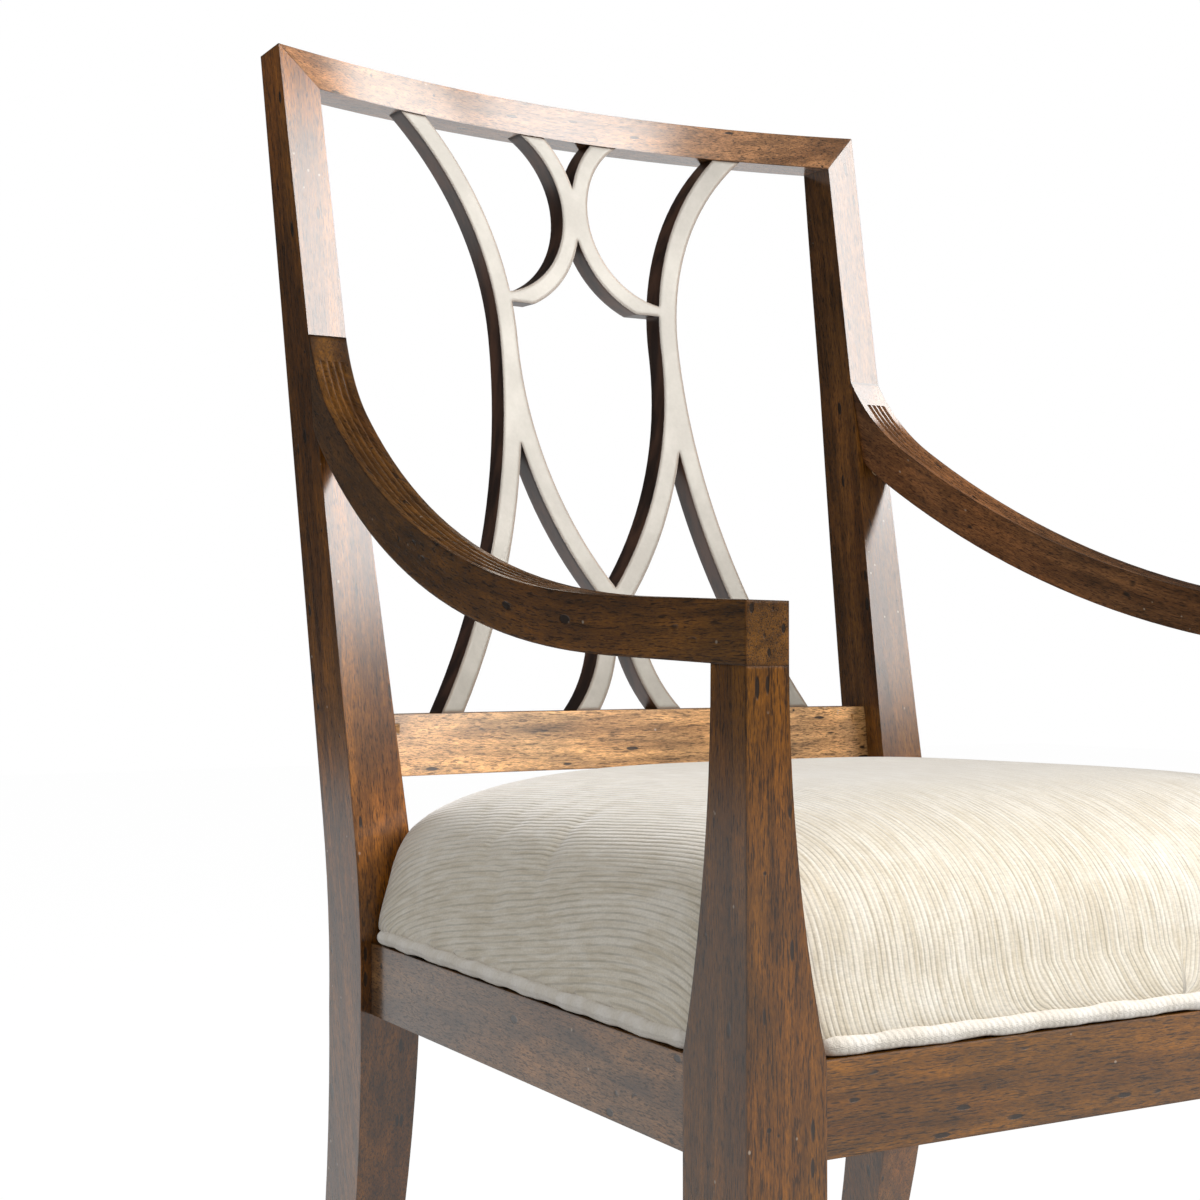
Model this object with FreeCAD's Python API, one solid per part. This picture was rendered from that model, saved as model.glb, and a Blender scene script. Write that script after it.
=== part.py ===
import FreeCAD, Part
import math
import os
from FreeCAD import Vector as V

# An open-backed dining armchair with a pierced splat of interlocking loops, swooping reeded arms
# and a crowned loose seat. All lengths are in millimetres and angles in degrees.
# X runs to the right of someone who faces the chair, Y runs towards its back, Z is up.
# While the pieces are made, Y = 0 is the foremost line of the rear posts, and they are centred last.

# Heights above the floor
GLIDE_HEIGHT = 4.0
RAIL_BOTTOM = 345.0
RAIL_HEIGHT = 47.0
LOWER_BACK_RAIL_BOTTOM = 499.5
LOWER_BACK_RAIL_TOP = 542.0
CREST_BOTTOM = 988.0
CREST_TOP = 1018.0
ARM_FRONT_TOP = 609.3

# Plan sizes, over the outside of the posts
FRONT_WIDTH = 600.0
REAR_WIDTH_AT_SEAT = 504.0
REAR_WIDTH_AT_TOP = 525.0
REAR_WIDTH_AT_FLOOR = 488.0
REAR_WIDTH_BOW = 5.2
SEAT_DEPTH = 489.0

# Rear posts, seen from the side
POST_BEND_HEIGHT = 362.0
POST_BEND_RADIUS = 546.0
BACK_RAKE = 10.6
LEG_SABRE_RADIUS = 840.0
POST_DEPTH_SEAT = 47.8
POST_DEPTH_TOP = 31.0
POST_DEPTH_FOOT = 30.5
POST_BACK_SWELL = 3.2
LEG_BACK_START = 390.0

# Rear posts, seen from the front
POST_WIDTH_TOP = 28.8
POST_WIDTH_SEAT = 44.0
POST_WIDTH_FOOT = 26.0
POST_FLARE_START = 804.0
POST_SQUARE_TOP = 396.0
POST_SQUARE_BOTTOM = 338.0

# Front posts
FRONT_POST_WIDTH_TOP = 25.2
FRONT_POST_DEPTH_TOP = 27.8
FRONT_POST_WIDTH_SEAT = 47.2
FRONT_POST_DEPTH_SEAT = 50.9
FRONT_LEG_WIDTH_FOOT = 31.0
FRONT_LEG_DEPTH_FOOT = 32.0
FRONT_LEG_TAPER_START = 322.0

# Arms: a straight front, then three bends that steepen towards the rear post
ARM_DEPTH = 30.4
ARM_WIDTH_REAR = 28.8
ARM_FRONT_RUN = 112.6
ARM_FRONT_SLOPE = 2.3
ARM_BENDS = ((839.0, 6.55), (731.0, 35.0), (165.0, 64.0))
ARM_TAIL = 20.0
ARM_PLAN_STRAIGHT = 89.0

# Reeds: rounds along the top of each arm, parted by sharp grooves that fade out towards the front
REED_GROOVES = 4
REED_PITCH = 4.9
REED_RADIUS = 3.3
REED_FLAT = 0.6
REED_START_ANGLE = 3.4
REED_FADE_RADIUS = 420.0
REED_FADE_ANGLE = 6.5
REED_END_ANGLE = 55.0
REED_STEP = 14.0

# Crest rail and lower back rail
CREST_SAG = 37.3
CREST_THICKNESS = 29.0
CREST_TOP_TILT = 4.5
LOWER_BACK_RAIL_SAG = 15.8
LOWER_BACK_RAIL_SETBACK = 16.0
LOWER_BACK_RAIL_THICKNESS = 20.0

# Splat: bands cut from one curved board
SPLAT_THICKNESS = 18.0
SPLAT_SETBACK_AT_CREST = 1.0
SPLAT_SETBACK_AT_RAIL = 2.0
BAND_HALF_WIDTH = 8.0
SMALL_BAND_HALF_WIDTH = 7.2
WAIST_HALF_GAP = 74.0
WAIST_HEIGHT = 825.0
UPPER_ARC_RADIUS = 223.0
LOWER_ARC_RADIUS = 535.0
LENS_RADIUS = 300.0
LENS_START_HEIGHT = 819.0
TOP_LOOP_RADIUS = 77.4
TOP_LOOP_HEIGHT = 928.5
TOP_LOOP_HALF_GAP = 4.6
FOOT_FLARE_RADIUS = 110.0
FOOT_FLARE_HEIGHT = 613.0
FOOT_FLARE_HALF_GAP = 10.5

# Seat rails
RAIL_THICKNESS = 22.0
FRONT_RAIL_INSET = 5.0
SIDE_RAIL_INSET_FRONT = 3.0
SIDE_RAIL_INSET_REAR = 7.8
REAR_RAIL_SETBACK = 14.0

# Joints
JOINT_CLEARANCE = 0.15
RAIL_TENON_THICKNESS = 10.0
RAIL_TENON_LENGTH = 20.0
REAR_RAIL_TENON_LENGTH = 14.0
TENON_SHOULDER = 6.0
ARM_TENON_SIDE = 12.0
ARM_TENON_LENGTH = 15.0
SPLAT_TENON = (11.0, 8.0, 7.0)
TENON_ROOT = 3.0
CREST_TENON = (15.0, 10.0, 9.0)
DOWEL_RADIUS = 4.0
DOWEL_LENGTH = 42.0
DOWEL_HEIGHTS = (733.0, 753.0)

# Corner blocks and screws
BLOCK_HEIGHT = 32.0
BLOCK_REACH_FRONT = 66.0
BLOCK_REACH_REAR = 58.0
BLOCK_GAP = 0.3
SCREW_RADIUS = 2.1
SCREW_HEAD_RADIUS = 4.2
SCREW_HEAD_HEIGHT = 2.6
BLOCK_SCREW_LENGTH = 50.0
SEAT_SCREW_LENGTH = 40.0
SEAT_SCREW_INSET = 25.0

# Seat
BOARD_THICKNESS = 12.0
BOARD_INSET = 9.0
SEAT_NOTCH_GAP = 1.0
SOFT_GAP = 0.3
CUSHION_CROWN_HEIGHT = 118.0
COVER_THICKNESS = 9.0
FOAM_LIFT = 0.3
CUSHION_SIDE_BOW = 4.0
COVER_STEPS = ((0.0, 0.0), (0.2, -1.5), (0.4, 3.0), (0.62, 20.0), (0.82, 59.0), (0.94, 112.0), (1.0, 185.0))
FOAM_STEPS = ((0.0, 0.0), (0.35, 2.0), (0.62, 22.0), (0.84, 66.0), (1.0, 172.0))
WELT_RADIUS = 4.6
WELT_PROUD = 1.5
DUST_COVER_THICKNESS = 0.8
DUST_COVER_INSET = 2.0

# Glides
GLIDE_RADIUS = 10.0
NAIL_RADIUS = 1.3
NAIL_LENGTH = 14.0

# Sizes that follow from the ones above
RAIL_TOP = RAIL_BOTTOM + RAIL_HEIGHT
FRONT_FACE = -SEAT_DEPTH
FRONT_POST_BACK = FRONT_FACE + FRONT_POST_DEPTH_SEAT
FRONT_POST_INNER = FRONT_WIDTH / 2 - FRONT_POST_WIDTH_SEAT
REAR_POST_INNER = REAR_WIDTH_AT_SEAT / 2 - POST_WIDTH_SEAT
LOWER_BACK_RAIL_SPAN = (REAR_WIDTH_AT_SEAT - POST_WIDTH_SEAT) / 2
RAKE_SLOPE = math.tan(math.radians(BACK_RAKE))
WIDE = 2 * FRONT_WIDTH
HIGH = 2 * CREST_TOP


def sin(degrees):
    return math.sin(math.radians(degrees))


def cos(degrees):
    return math.cos(math.radians(degrees))


def line(a, b):
    return Part.makeLine(a, b)


def arc(a, middle, b):
    return Part.Arc(a, middle, b).toShape()


def polygon(points):
    """A flat face through the points, in order."""
    return Part.Face(Part.makePolygon(list(points) + [points[0]]))


def box(low, high):
    """A box between two opposite corners."""
    size = high - low
    return Part.makeBox(size.x, size.y, size.z, low)


def grown(low, high, gap):
    """A box between two opposite corners, larger by gap on every side."""
    return box(low - V(gap, gap, gap), high + V(gap, gap, gap))


def mirrored(shape):
    """The same shape on the other side of the chair."""
    return shape.mirror(V(0, 0, 0), V(1, 0, 0))


def post_front_y(z):
    """How far back the front face of a rear post lies at height z, above the seat rails."""
    bend_end = POST_BEND_HEIGHT + POST_BEND_RADIUS * sin(BACK_RAKE)
    if z < bend_end:
        return POST_BEND_RADIUS - math.sqrt(POST_BEND_RADIUS ** 2 - (z - POST_BEND_HEIGHT) ** 2)
    return POST_BEND_RADIUS * (1 - cos(BACK_RAKE)) + (z - bend_end) * RAKE_SLOPE


def post_back_arc():
    """The back edge of a rear post above its bend, seen from the side, from the top downwards."""
    outer = POST_BEND_RADIUS + POST_DEPTH_SEAT
    rise = outer * sin(BACK_RAKE)
    bend_end = V(0, POST_DEPTH_SEAT + outer * (1 - cos(BACK_RAKE)), POST_BEND_HEIGHT + rise)
    drop = POST_DEPTH_TOP * math.tan(math.radians(CREST_TOP_TILT))
    top = V(0, post_front_y(CREST_TOP) + POST_DEPTH_TOP, CREST_TOP - drop)
    swell = (bend_end + top) * 0.5 + V(0, POST_BACK_SWELL, 0)
    return top, swell, bend_end


def post_back_y(z):
    """How far back the back face of a rear post lies at height z, above the bend."""
    curve = arc(*post_back_arc()).Curve
    return curve.Center.y + math.sqrt(curve.Radius ** 2 - (z - curve.Center.z) ** 2)


def rear_half_width(z):
    """Half the width over the rear posts at height z, from a bowed line between seat and top."""
    share = (z - RAIL_BOTTOM) / (CREST_TOP - RAIL_BOTTOM)
    straight = REAR_WIDTH_AT_SEAT + (REAR_WIDTH_AT_TOP - REAR_WIDTH_AT_SEAT) * share
    return (straight - REAR_WIDTH_BOW * 4 * share * (1 - share)) / 2


def rear_post_side():
    """The side outline of a rear post, as one prism across the whole width."""
    foot = GLIDE_HEIGHT
    bend = POST_BEND_HEIGHT
    radius = POST_BEND_RADIUS
    half = BACK_RAKE / 2
    drop = bend - foot
    foot_front = LEG_SABRE_RADIUS - math.sqrt(LEG_SABRE_RADIUS ** 2 - drop ** 2)
    mid_drop = LEG_SABRE_RADIUS * math.sin(math.asin(drop / LEG_SABRE_RADIUS) / 2)
    mid_front = LEG_SABRE_RADIUS - math.sqrt(LEG_SABRE_RADIUS ** 2 - mid_drop ** 2)
    top_front = post_front_y(CREST_TOP)
    outer = radius + POST_DEPTH_SEAT
    top, swell, bend_end = post_back_arc()
    straight_front = V(0, radius * (1 - cos(BACK_RAKE)), bend + radius * sin(BACK_RAKE))
    bend_back = V(0, POST_DEPTH_SEAT + outer * (1 - cos(half)), bend + outer * sin(half))
    back_low = V(0, POST_DEPTH_SEAT, bend)
    foot_back = V(0, foot_front + POST_DEPTH_FOOT, foot)
    leg_drop = back_low.z - foot_back.z
    leg_back_mid = V(0, POST_DEPTH_SEAT + (foot_back.y - POST_DEPTH_SEAT) / 4, foot + leg_drop / 2)
    edges = [
        arc(V(0, foot_front, foot), V(0, mid_front, bend - mid_drop), V(0, 0, bend)),
        arc(V(0, 0, bend), V(0, radius * (1 - cos(half)), bend + radius * sin(half)), straight_front),
        line(straight_front, V(0, top_front, CREST_TOP)),
        line(V(0, top_front, CREST_TOP), top),
        arc(top, swell, bend_end),
        arc(bend_end, bend_back, back_low),
        arc(back_low, leg_back_mid, foot_back),
        line(foot_back, V(0, foot_front, foot)),
    ]
    face = Part.Face(Part.Wire(edges))
    face.translate(V(-WIDE / 2, 0, 0))
    return face.extrude(V(WIDE, 0, 0))


def rear_post_front():
    """The front outline of the rear post on the right, as one prism through the whole depth."""
    foot = REAR_WIDTH_AT_FLOOR / 2
    seat = REAR_WIDTH_AT_SEAT / 2
    top = REAR_WIDTH_AT_TOP / 2
    middle = (RAIL_BOTTOM + CREST_TOP) / 2
    flare = rear_half_width(POST_FLARE_START) - POST_WIDTH_TOP
    y = -WIDE / 2
    points = [
        V(foot - POST_WIDTH_FOOT, y, 0),
        V(REAR_POST_INNER, y, POST_SQUARE_BOTTOM),
        V(REAR_POST_INNER, y, POST_SQUARE_TOP),
        V(flare, y, POST_FLARE_START),
        V(top - POST_WIDTH_TOP, y, CREST_TOP),
        V(top, y, CREST_TOP),
    ]
    edges = [line(a, b) for a, b in zip(points, points[1:])]
    edges.append(arc(points[-1], V(rear_half_width(middle), y, middle), V(seat, y, RAIL_BOTTOM)))
    edges.append(line(V(seat, y, RAIL_BOTTOM), V(foot, y, 0)))
    edges.append(line(V(foot, y, 0), points[0]))
    return Part.Face(Part.Wire(edges)).extrude(V(0, WIDE, 0))


def mitre_prism():
    """The region inside the two mitre planes at the top corners of the back frame."""
    inner = rear_half_width(CREST_BOTTOM) - POST_WIDTH_TOP
    outer = REAR_WIDTH_AT_TOP / 2
    rise = CREST_TOP - CREST_BOTTOM
    reach = 2 * rise
    run = reach * (outer - inner) / rise
    y = -WIDE / 2
    points = [
        V(-inner, y, CREST_BOTTOM),
        V(inner, y, CREST_BOTTOM),
        V(inner + run, y, CREST_BOTTOM + reach),
        V(-inner - run, y, CREST_BOTTOM + reach),
    ]
    return polygon(points).extrude(V(0, WIDE, 0))


def lower_back_rail():
    """The lower back rail before its tenons: bowed in plan, with its outline carried up the rake."""
    y = post_front_y(LOWER_BACK_RAIL_BOTTOM) + LOWER_BACK_RAIL_SETBACK
    ends = V(LOWER_BACK_RAIL_SPAN, 0, 0)
    base = V(0, y, LOWER_BACK_RAIL_BOTTOM)
    bow = V(0, LOWER_BACK_RAIL_SAG, 0)
    back = V(0, LOWER_BACK_RAIL_THICKNESS, 0)
    edges = [
        arc(base - ends, base + bow, base + ends),
        line(base + ends, base + ends + back),
        arc(base + ends + back, base + bow + back, base - ends + back),
        line(base - ends + back, base - ends),
    ]
    rise = LOWER_BACK_RAIL_TOP - LOWER_BACK_RAIL_BOTTOM
    return Part.Face(Part.Wire(edges)).extrude(V(0, rise * RAKE_SLOPE, rise))


def crest_plan(z, half_width):
    """The plan outline of the crest rail at height z, flush with both faces of the posts at its ends."""
    front = V(0, post_front_y(z), z)
    back = V(0, post_back_y(z), z)
    ends = V(half_width, 0, 0)
    bow = V(0, CREST_SAG, 0)
    deep = V(0, CREST_THICKNESS, 0)
    return Part.Wire([
        arc(front - ends, front + bow, front + ends),
        line(front + ends, back + ends),
        arc(back + ends, front + bow + deep, back - ends),
        line(back - ends, front - ends),
    ])


def crest_rail():
    """The crest rail: its hollow front and rounded back run out at the mitres, where it meets the posts."""
    inner = rear_half_width(CREST_BOTTOM) - POST_WIDTH_TOP
    lower = crest_plan(CREST_BOTTOM, inner)
    upper = crest_plan(CREST_TOP, REAR_WIDTH_AT_TOP / 2)
    blank = Part.makeLoft([lower, upper], True, True)
    tilt = math.tan(math.radians(CREST_TOP_TILT))
    y = post_front_y(CREST_TOP)
    before = RAIL_THICKNESS
    beyond = 4 * RAIL_THICKNESS
    above = polygon([
        V(-WIDE / 2, y - before, CREST_TOP + before * tilt),
        V(-WIDE / 2, y + beyond, CREST_TOP - beyond * tilt),
        V(-WIDE / 2, y + beyond, HIGH),
        V(-WIDE / 2, y - before, HIGH),
    ]).extrude(V(WIDE, 0, 0))
    return blank.cut(above)


def crest_tenon(gap):
    """The tongue that crosses the right-hand mitre, larger by gap for its mortise."""
    length, height, thick = CREST_TENON
    inner = rear_half_width(CREST_BOTTOM) - POST_WIDTH_TOP
    low = CREST_BOTTOM + TENON_SHOULDER
    middle = post_front_y(low + height / 2) + POST_DEPTH_TOP / 2
    start = inner + TENON_SHOULDER / 2
    return grown(V(start, middle - thick / 2, low), V(start + length + TENON_SHOULDER, middle + thick / 2, low + height), gap)


def lower_rail_tenon(gap):
    """The right-hand tenon of the lower back rail, larger by gap for its mortise."""
    low = LOWER_BACK_RAIL_BOTTOM + TENON_SHOULDER
    high = LOWER_BACK_RAIL_TOP - TENON_SHOULDER
    middle = post_front_y((low + high) / 2) + LOWER_BACK_RAIL_SETBACK + LOWER_BACK_RAIL_THICKNESS / 2
    half = RAIL_TENON_THICKNESS / 2
    start = REAR_POST_INNER - TENON_SHOULDER
    end = REAR_POST_INNER + RAIL_TENON_LENGTH
    return grown(V(start, middle - half, low), V(end, middle + half, high), gap)


def band(centre_x, centre_z, radius, half_width, low, high):
    """A curved band seen from the front: the ring about the centre that lies between two heights.
    A positive radius bulges to the left and a negative one to the right."""
    side = math.copysign(1, radius)
    size = abs(radius)
    y = -WIDE / 2
    centre = V(centre_x, y, centre_z)
    outer = Part.makeCylinder(size + half_width, WIDE, centre, V(0, 1, 0))
    inner = Part.makeCylinder(size - half_width, WIDE, centre, V(0, 1, 0))
    reach = size + 2 * half_width
    left = centre_x - reach if side > 0 else centre_x
    window = box(V(left, y, low), V(left + reach, -y, high))
    return outer.cut(inner).common(window)


def splat_bands():
    """The front outline of the splat: every band on one side, then its mirror image."""
    reach = TENON_SHOULDER
    top = CREST_BOTTOM + reach
    foot = LOWER_BACK_RAIL_TOP - reach
    waist = -WAIST_HALF_GAP
    wide = BAND_HALF_WIDTH
    crossing = WAIST_HALF_GAP + wide
    lens_end = LENS_START_HEIGHT - math.sqrt(LENS_RADIUS ** 2 - (LENS_RADIUS - crossing) ** 2)
    loop_x = -TOP_LOOP_HALF_GAP - TOP_LOOP_RADIUS
    loop_fall = math.sqrt(TOP_LOOP_RADIUS ** 2 - (waist - loop_x) ** 2)
    flare_x = -FOOT_FLARE_HALF_GAP - FOOT_FLARE_RADIUS
    narrow = SMALL_BAND_HALF_WIDTH
    bands = [
        band(waist - UPPER_ARC_RADIUS, WAIST_HEIGHT, -UPPER_ARC_RADIUS, wide, WAIST_HEIGHT, top),
        band(waist - LOWER_ARC_RADIUS, WAIST_HEIGHT, -LOWER_ARC_RADIUS, wide, foot, WAIST_HEIGHT),
        band(waist + LENS_RADIUS, LENS_START_HEIGHT, LENS_RADIUS, wide, lens_end, LENS_START_HEIGHT),
        band(loop_x, TOP_LOOP_HEIGHT, -TOP_LOOP_RADIUS, narrow, TOP_LOOP_HEIGHT - loop_fall, top),
        band(flare_x, FOOT_FLARE_HEIGHT, -FOOT_FLARE_RADIUS, wide, foot, FOOT_FLARE_HEIGHT),
    ]
    return bands + [mirrored(shape) for shape in bands]


def splat_board():
    """The board that the splat is cut from: flat arcs at both rails, joined by straight lines."""
    wires = []
    for at_crest in (False, True):
        z, front, sag, half = splat_rest(at_crest)
        base = V(0, post_front_y(z) + front, z)
        ends = V(half, 0, 0)
        bow = V(0, sag, 0)
        back = V(0, SPLAT_THICKNESS, 0)
        wires.append(Part.Wire([
            arc(base - ends, base + bow, base + ends),
            line(base + ends, base + ends + back),
            arc(base + ends + back, base + bow + back, base - ends + back),
            line(base - ends + back, base - ends),
        ]))
    return Part.makeLoft(wires, True, True)


def splat_rest(at_crest):
    """Where the splat meets the crest rail or the lower back rail: its height, how far its front
    lies behind the posts, its sag and half the width of that sag."""
    if at_crest:
        inner = rear_half_width(CREST_BOTTOM) - POST_WIDTH_TOP
        return CREST_BOTTOM, SPLAT_SETBACK_AT_CREST, CREST_SAG, inner
    front = LOWER_BACK_RAIL_SETBACK + SPLAT_SETBACK_AT_RAIL
    return LOWER_BACK_RAIL_TOP, front, LOWER_BACK_RAIL_SAG, LOWER_BACK_RAIL_SPAN


def splat_landings():
    """Where the bands meet the crest (True) and the lower back rail, on the left: x of each."""
    def reach(x, z, radius, height):
        return x + math.sqrt(radius ** 2 - (height - z) ** 2)
    loop_x = -TOP_LOOP_HALF_GAP - TOP_LOOP_RADIUS
    flare_x = -FOOT_FLARE_HALF_GAP - FOOT_FLARE_RADIUS
    waist = -WAIST_HALF_GAP
    upper = reach(waist - UPPER_ARC_RADIUS, WAIST_HEIGHT, UPPER_ARC_RADIUS, CREST_BOTTOM)
    lower = reach(waist - LOWER_ARC_RADIUS, WAIST_HEIGHT, LOWER_ARC_RADIUS, LOWER_BACK_RAIL_TOP)
    loop = reach(loop_x, TOP_LOOP_HEIGHT, TOP_LOOP_RADIUS, CREST_BOTTOM)
    flare = reach(flare_x, FOOT_FLARE_HEIGHT, FOOT_FLARE_RADIUS, LOWER_BACK_RAIL_TOP)
    return ((True, upper), (True, loop), (False, lower), (False, flare))


def splat_tenons(gap):
    """Eight stub tenons, one at the end of each band, larger by gap for their mortises."""
    width, thick, length = SPLAT_TENON
    tenons = []
    for at_crest, x in splat_landings():
        z, front, sag, half = splat_rest(at_crest)
        y = post_front_y(z) + front + sag * (1 - (x / half) ** 2) + SPLAT_THICKNESS / 2
        low = z - TENON_ROOT if at_crest else z - length
        high = z + length if at_crest else z + TENON_ROOT
        for side in (-1, 1):
            corner = V(side * x - width / 2, y - thick / 2, low)
            tenons.append(grown(corner, V(corner.x + width, corner.y + thick, high), gap))
    return tenons


def back_splat():
    bands = splat_bands()
    outline = bands[0].multiFuse(bands[1:])
    body = splat_board().common(outline).removeSplitter()
    return body.multiFuse(splat_tenons(0)).removeSplitter()


def front_post():
    """The front post on the left, with its leg and the stub tenon that carries the arm."""
    outer = -FRONT_WIDTH / 2
    shoulder = RAIL_TOP
    neck = ARM_FRONT_TOP - ARM_DEPTH
    top = ARM_FRONT_TOP - ARM_DEPTH / 2
    foot = GLIDE_HEIGHT

    def outline(narrow, wide, low):
        """Edges of the flared outline, in (across, height): the outer side straight, the inner flared."""
        flare = wide - narrow
        rise = neck - shoulder
        radius = (rise ** 2 + flare ** 2) / (2 * flare)
        angle = math.asin(rise / radius) / 2
        middle = (narrow + radius * (1 - math.cos(angle)), neck - radius * math.sin(angle))
        return [(0, foot), (low, foot), (wide, FRONT_LEG_TAPER_START), (wide, shoulder), middle, (narrow, neck),
                (narrow, top), (0, top)]

    def prism(points, place, along):
        corners = [place(a, b) for a, b in points]
        edges = [
            line(corners[0], corners[1]),
            line(corners[1], corners[2]),
            line(corners[2], corners[3]),
            arc(corners[3], corners[4], corners[5]),
            line(corners[5], corners[6]),
            line(corners[6], corners[7]),
            line(corners[7], corners[0]),
        ]
        return Part.Face(Part.Wire(edges)).extrude(along)

    across = outline(FRONT_POST_WIDTH_TOP, FRONT_POST_WIDTH_SEAT, FRONT_LEG_WIDTH_FOOT)
    deep = outline(FRONT_POST_DEPTH_TOP, FRONT_POST_DEPTH_SEAT, FRONT_LEG_DEPTH_FOOT)
    seen_front = prism(across, lambda a, b: V(outer + a, -WIDE, b), V(0, 2 * WIDE, 0))
    seen_side = prism(deep, lambda a, b: V(-WIDE, FRONT_FACE + a, b), V(2 * WIDE, 0, 0))
    post = seen_front.common(seen_side).cut(arm_side())
    return post.fuse(arm_tenon(0)).removeSplitter()


def arm_bends(depth):
    """Centre, radius, start angle and end angle of each bend of the line that runs a given depth
    below the top of the arm."""
    angle = ARM_FRONT_SLOPE
    start = V(0, FRONT_FACE + depth * sin(angle), ARM_FRONT_TOP - depth * cos(angle))
    point = start + V(0, cos(angle), sin(angle)) * ARM_FRONT_RUN
    bends = []
    for radius, end_angle in ARM_BENDS:
        size = radius + depth
        centre = point + V(0, -sin(angle), cos(angle)) * size
        bends.append((centre, size, angle, end_angle))
        point = on_bend(centre, size, end_angle)
        angle = end_angle
    return bends


def on_bend(centre, size, angle):
    """The point of a bend where its line slopes by an angle."""
    return centre + V(0, sin(angle), -cos(angle)) * size


def bend_edge(centre, size, start, end):
    return arc(on_bend(centre, size, start), on_bend(centre, size, (start + end) / 2), on_bend(centre, size, end))


def arm_line(depth):
    """Edges of the line that runs a given depth below the top of the arm: a straight lead that
    starts ahead of the front post, three bends upwards, and a tail into the rear post."""
    bends = arm_bends(depth)
    start = on_bend(*bends[0][:3])
    end = on_bend(bends[-1][0], bends[-1][1], bends[-1][3])
    lead = V(0, cos(ARM_FRONT_SLOPE), sin(ARM_FRONT_SLOPE)) * (ARM_FRONT_RUN + ARM_DEPTH)
    tail = V(0, cos(bends[-1][3]), sin(bends[-1][3])) * ARM_TAIL
    return [line(start - lead, start)] + [bend_edge(*bend) for bend in bends] + [line(end, end + tail)]


def arm_side():
    """The side outline of an arm, as one prism across the whole width."""
    top = arm_line(0)
    bottom = arm_line(ARM_DEPTH)
    ends = [
        line(top[-1].Vertexes[-1].Point, bottom[-1].Vertexes[-1].Point),
        line(bottom[0].Vertexes[0].Point, top[0].Vertexes[0].Point),
    ]
    face = Part.Face(Part.Wire(Part.__sortEdges__(top + bottom + ends)))
    face.translate(V(-WIDE / 2, 0, 0))
    return face.extrude(V(WIDE, 0, 0))


def arm_edge_x(y, front_x, rear_x):
    """The x of one side of the left arm at y: straight over the front post, then an arc to the rear post."""
    start = FRONT_FACE + ARM_PLAN_STRAIGHT
    if y <= start:
        return front_x
    inward = rear_x - front_x
    run = post_front_y(POST_FLARE_START) - start
    radius = (inward ** 2 + run ** 2) / (2 * inward)
    return front_x + radius - math.sqrt(radius ** 2 - (y - start) ** 2)


def arm_outer_x(y):
    return arm_edge_x(y, -FRONT_WIDTH / 2, -rear_half_width(POST_FLARE_START))


def arm_inner_x(y):
    return arm_edge_x(y, -FRONT_WIDTH / 2 + FRONT_POST_WIDTH_TOP, ARM_WIDTH_REAR - rear_half_width(POST_FLARE_START))


def arm_plan():
    """The left arm seen from above, as one prism through the whole height."""
    start = FRONT_FACE + ARM_PLAN_STRAIGHT
    end = post_front_y(POST_FLARE_START) + POST_DEPTH_TOP
    middle = (start + end) / 2
    outer = [V(arm_outer_x(y), y, 0) for y in (FRONT_FACE, start, middle, end)]
    inner = [V(arm_inner_x(y), y, 0) for y in (FRONT_FACE, start, middle, end)]
    edges = [
        line(outer[0], outer[1]),
        arc(*outer[1:]),
        line(outer[3], inner[3]),
        arc(inner[3], inner[2], inner[1]),
        line(inner[1], inner[0]),
        line(inner[0], outer[0]),
    ]
    return Part.Face(Part.Wire(edges)).extrude(V(0, 0, HIGH))


def arm_tenon(gap):
    """The stub tenon on top of the left front post, larger by gap for its mortise."""
    x = -FRONT_WIDTH / 2 + FRONT_POST_WIDTH_TOP / 2
    y = FRONT_FACE + FRONT_POST_DEPTH_TOP / 2
    z = ARM_FRONT_TOP - ARM_DEPTH
    half = ARM_TENON_SIDE / 2
    return grown(V(x - half, y - half, z - half), V(x + half, y + half, z + ARM_TENON_LENGTH), gap)


def arm_dowel(height, gap):
    """A dowel square to the front face of the left rear post, larger by gap for its hole."""
    along = V(0, cos(BACK_RAKE), -sin(BACK_RAKE))
    x = -rear_half_width(POST_FLARE_START) + ARM_WIDTH_REAR / 2
    middle = V(x, post_front_y(height), height)
    length = DOWEL_LENGTH + 2 * gap
    return Part.makeCylinder(DOWEL_RADIUS + gap, length, middle - along * (length / 2), along)


def reed_path(shift):
    """Points along the top of the left arm, shift from its middle: a lift off the surface at the front
    end, the bends, and the square stop near the rear post."""
    bends = arm_bends(0)
    touch = on_bend(*bends[0][:2], REED_START_ANGLE)
    lift = touch + V(0, -sin(REED_START_ANGLE), cos(REED_START_ANGLE)) * REED_FADE_RADIUS
    fade = (lift, REED_FADE_RADIUS, REED_START_ANGLE - REED_FADE_ANGLE, REED_START_ANGLE)
    first = (*bends[0][:2], REED_START_ANGLE, bends[0][3])
    last = (*bends[2][:3], REED_END_ANGLE)
    points = []
    for centre, size, start, end in (fade, first, bends[1], last):
        steps = max(2, round(size * math.radians(end - start) / REED_STEP))
        points += [on_bend(centre, size, start + (end - start) * i / steps) for i in range(steps)]
    points.append(on_bend(*last[:2], REED_END_ANGLE))
    return [V((arm_outer_x(p.y) + arm_inner_x(p.y)) / 2 + shift, p.y, p.z) for p in points]


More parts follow.
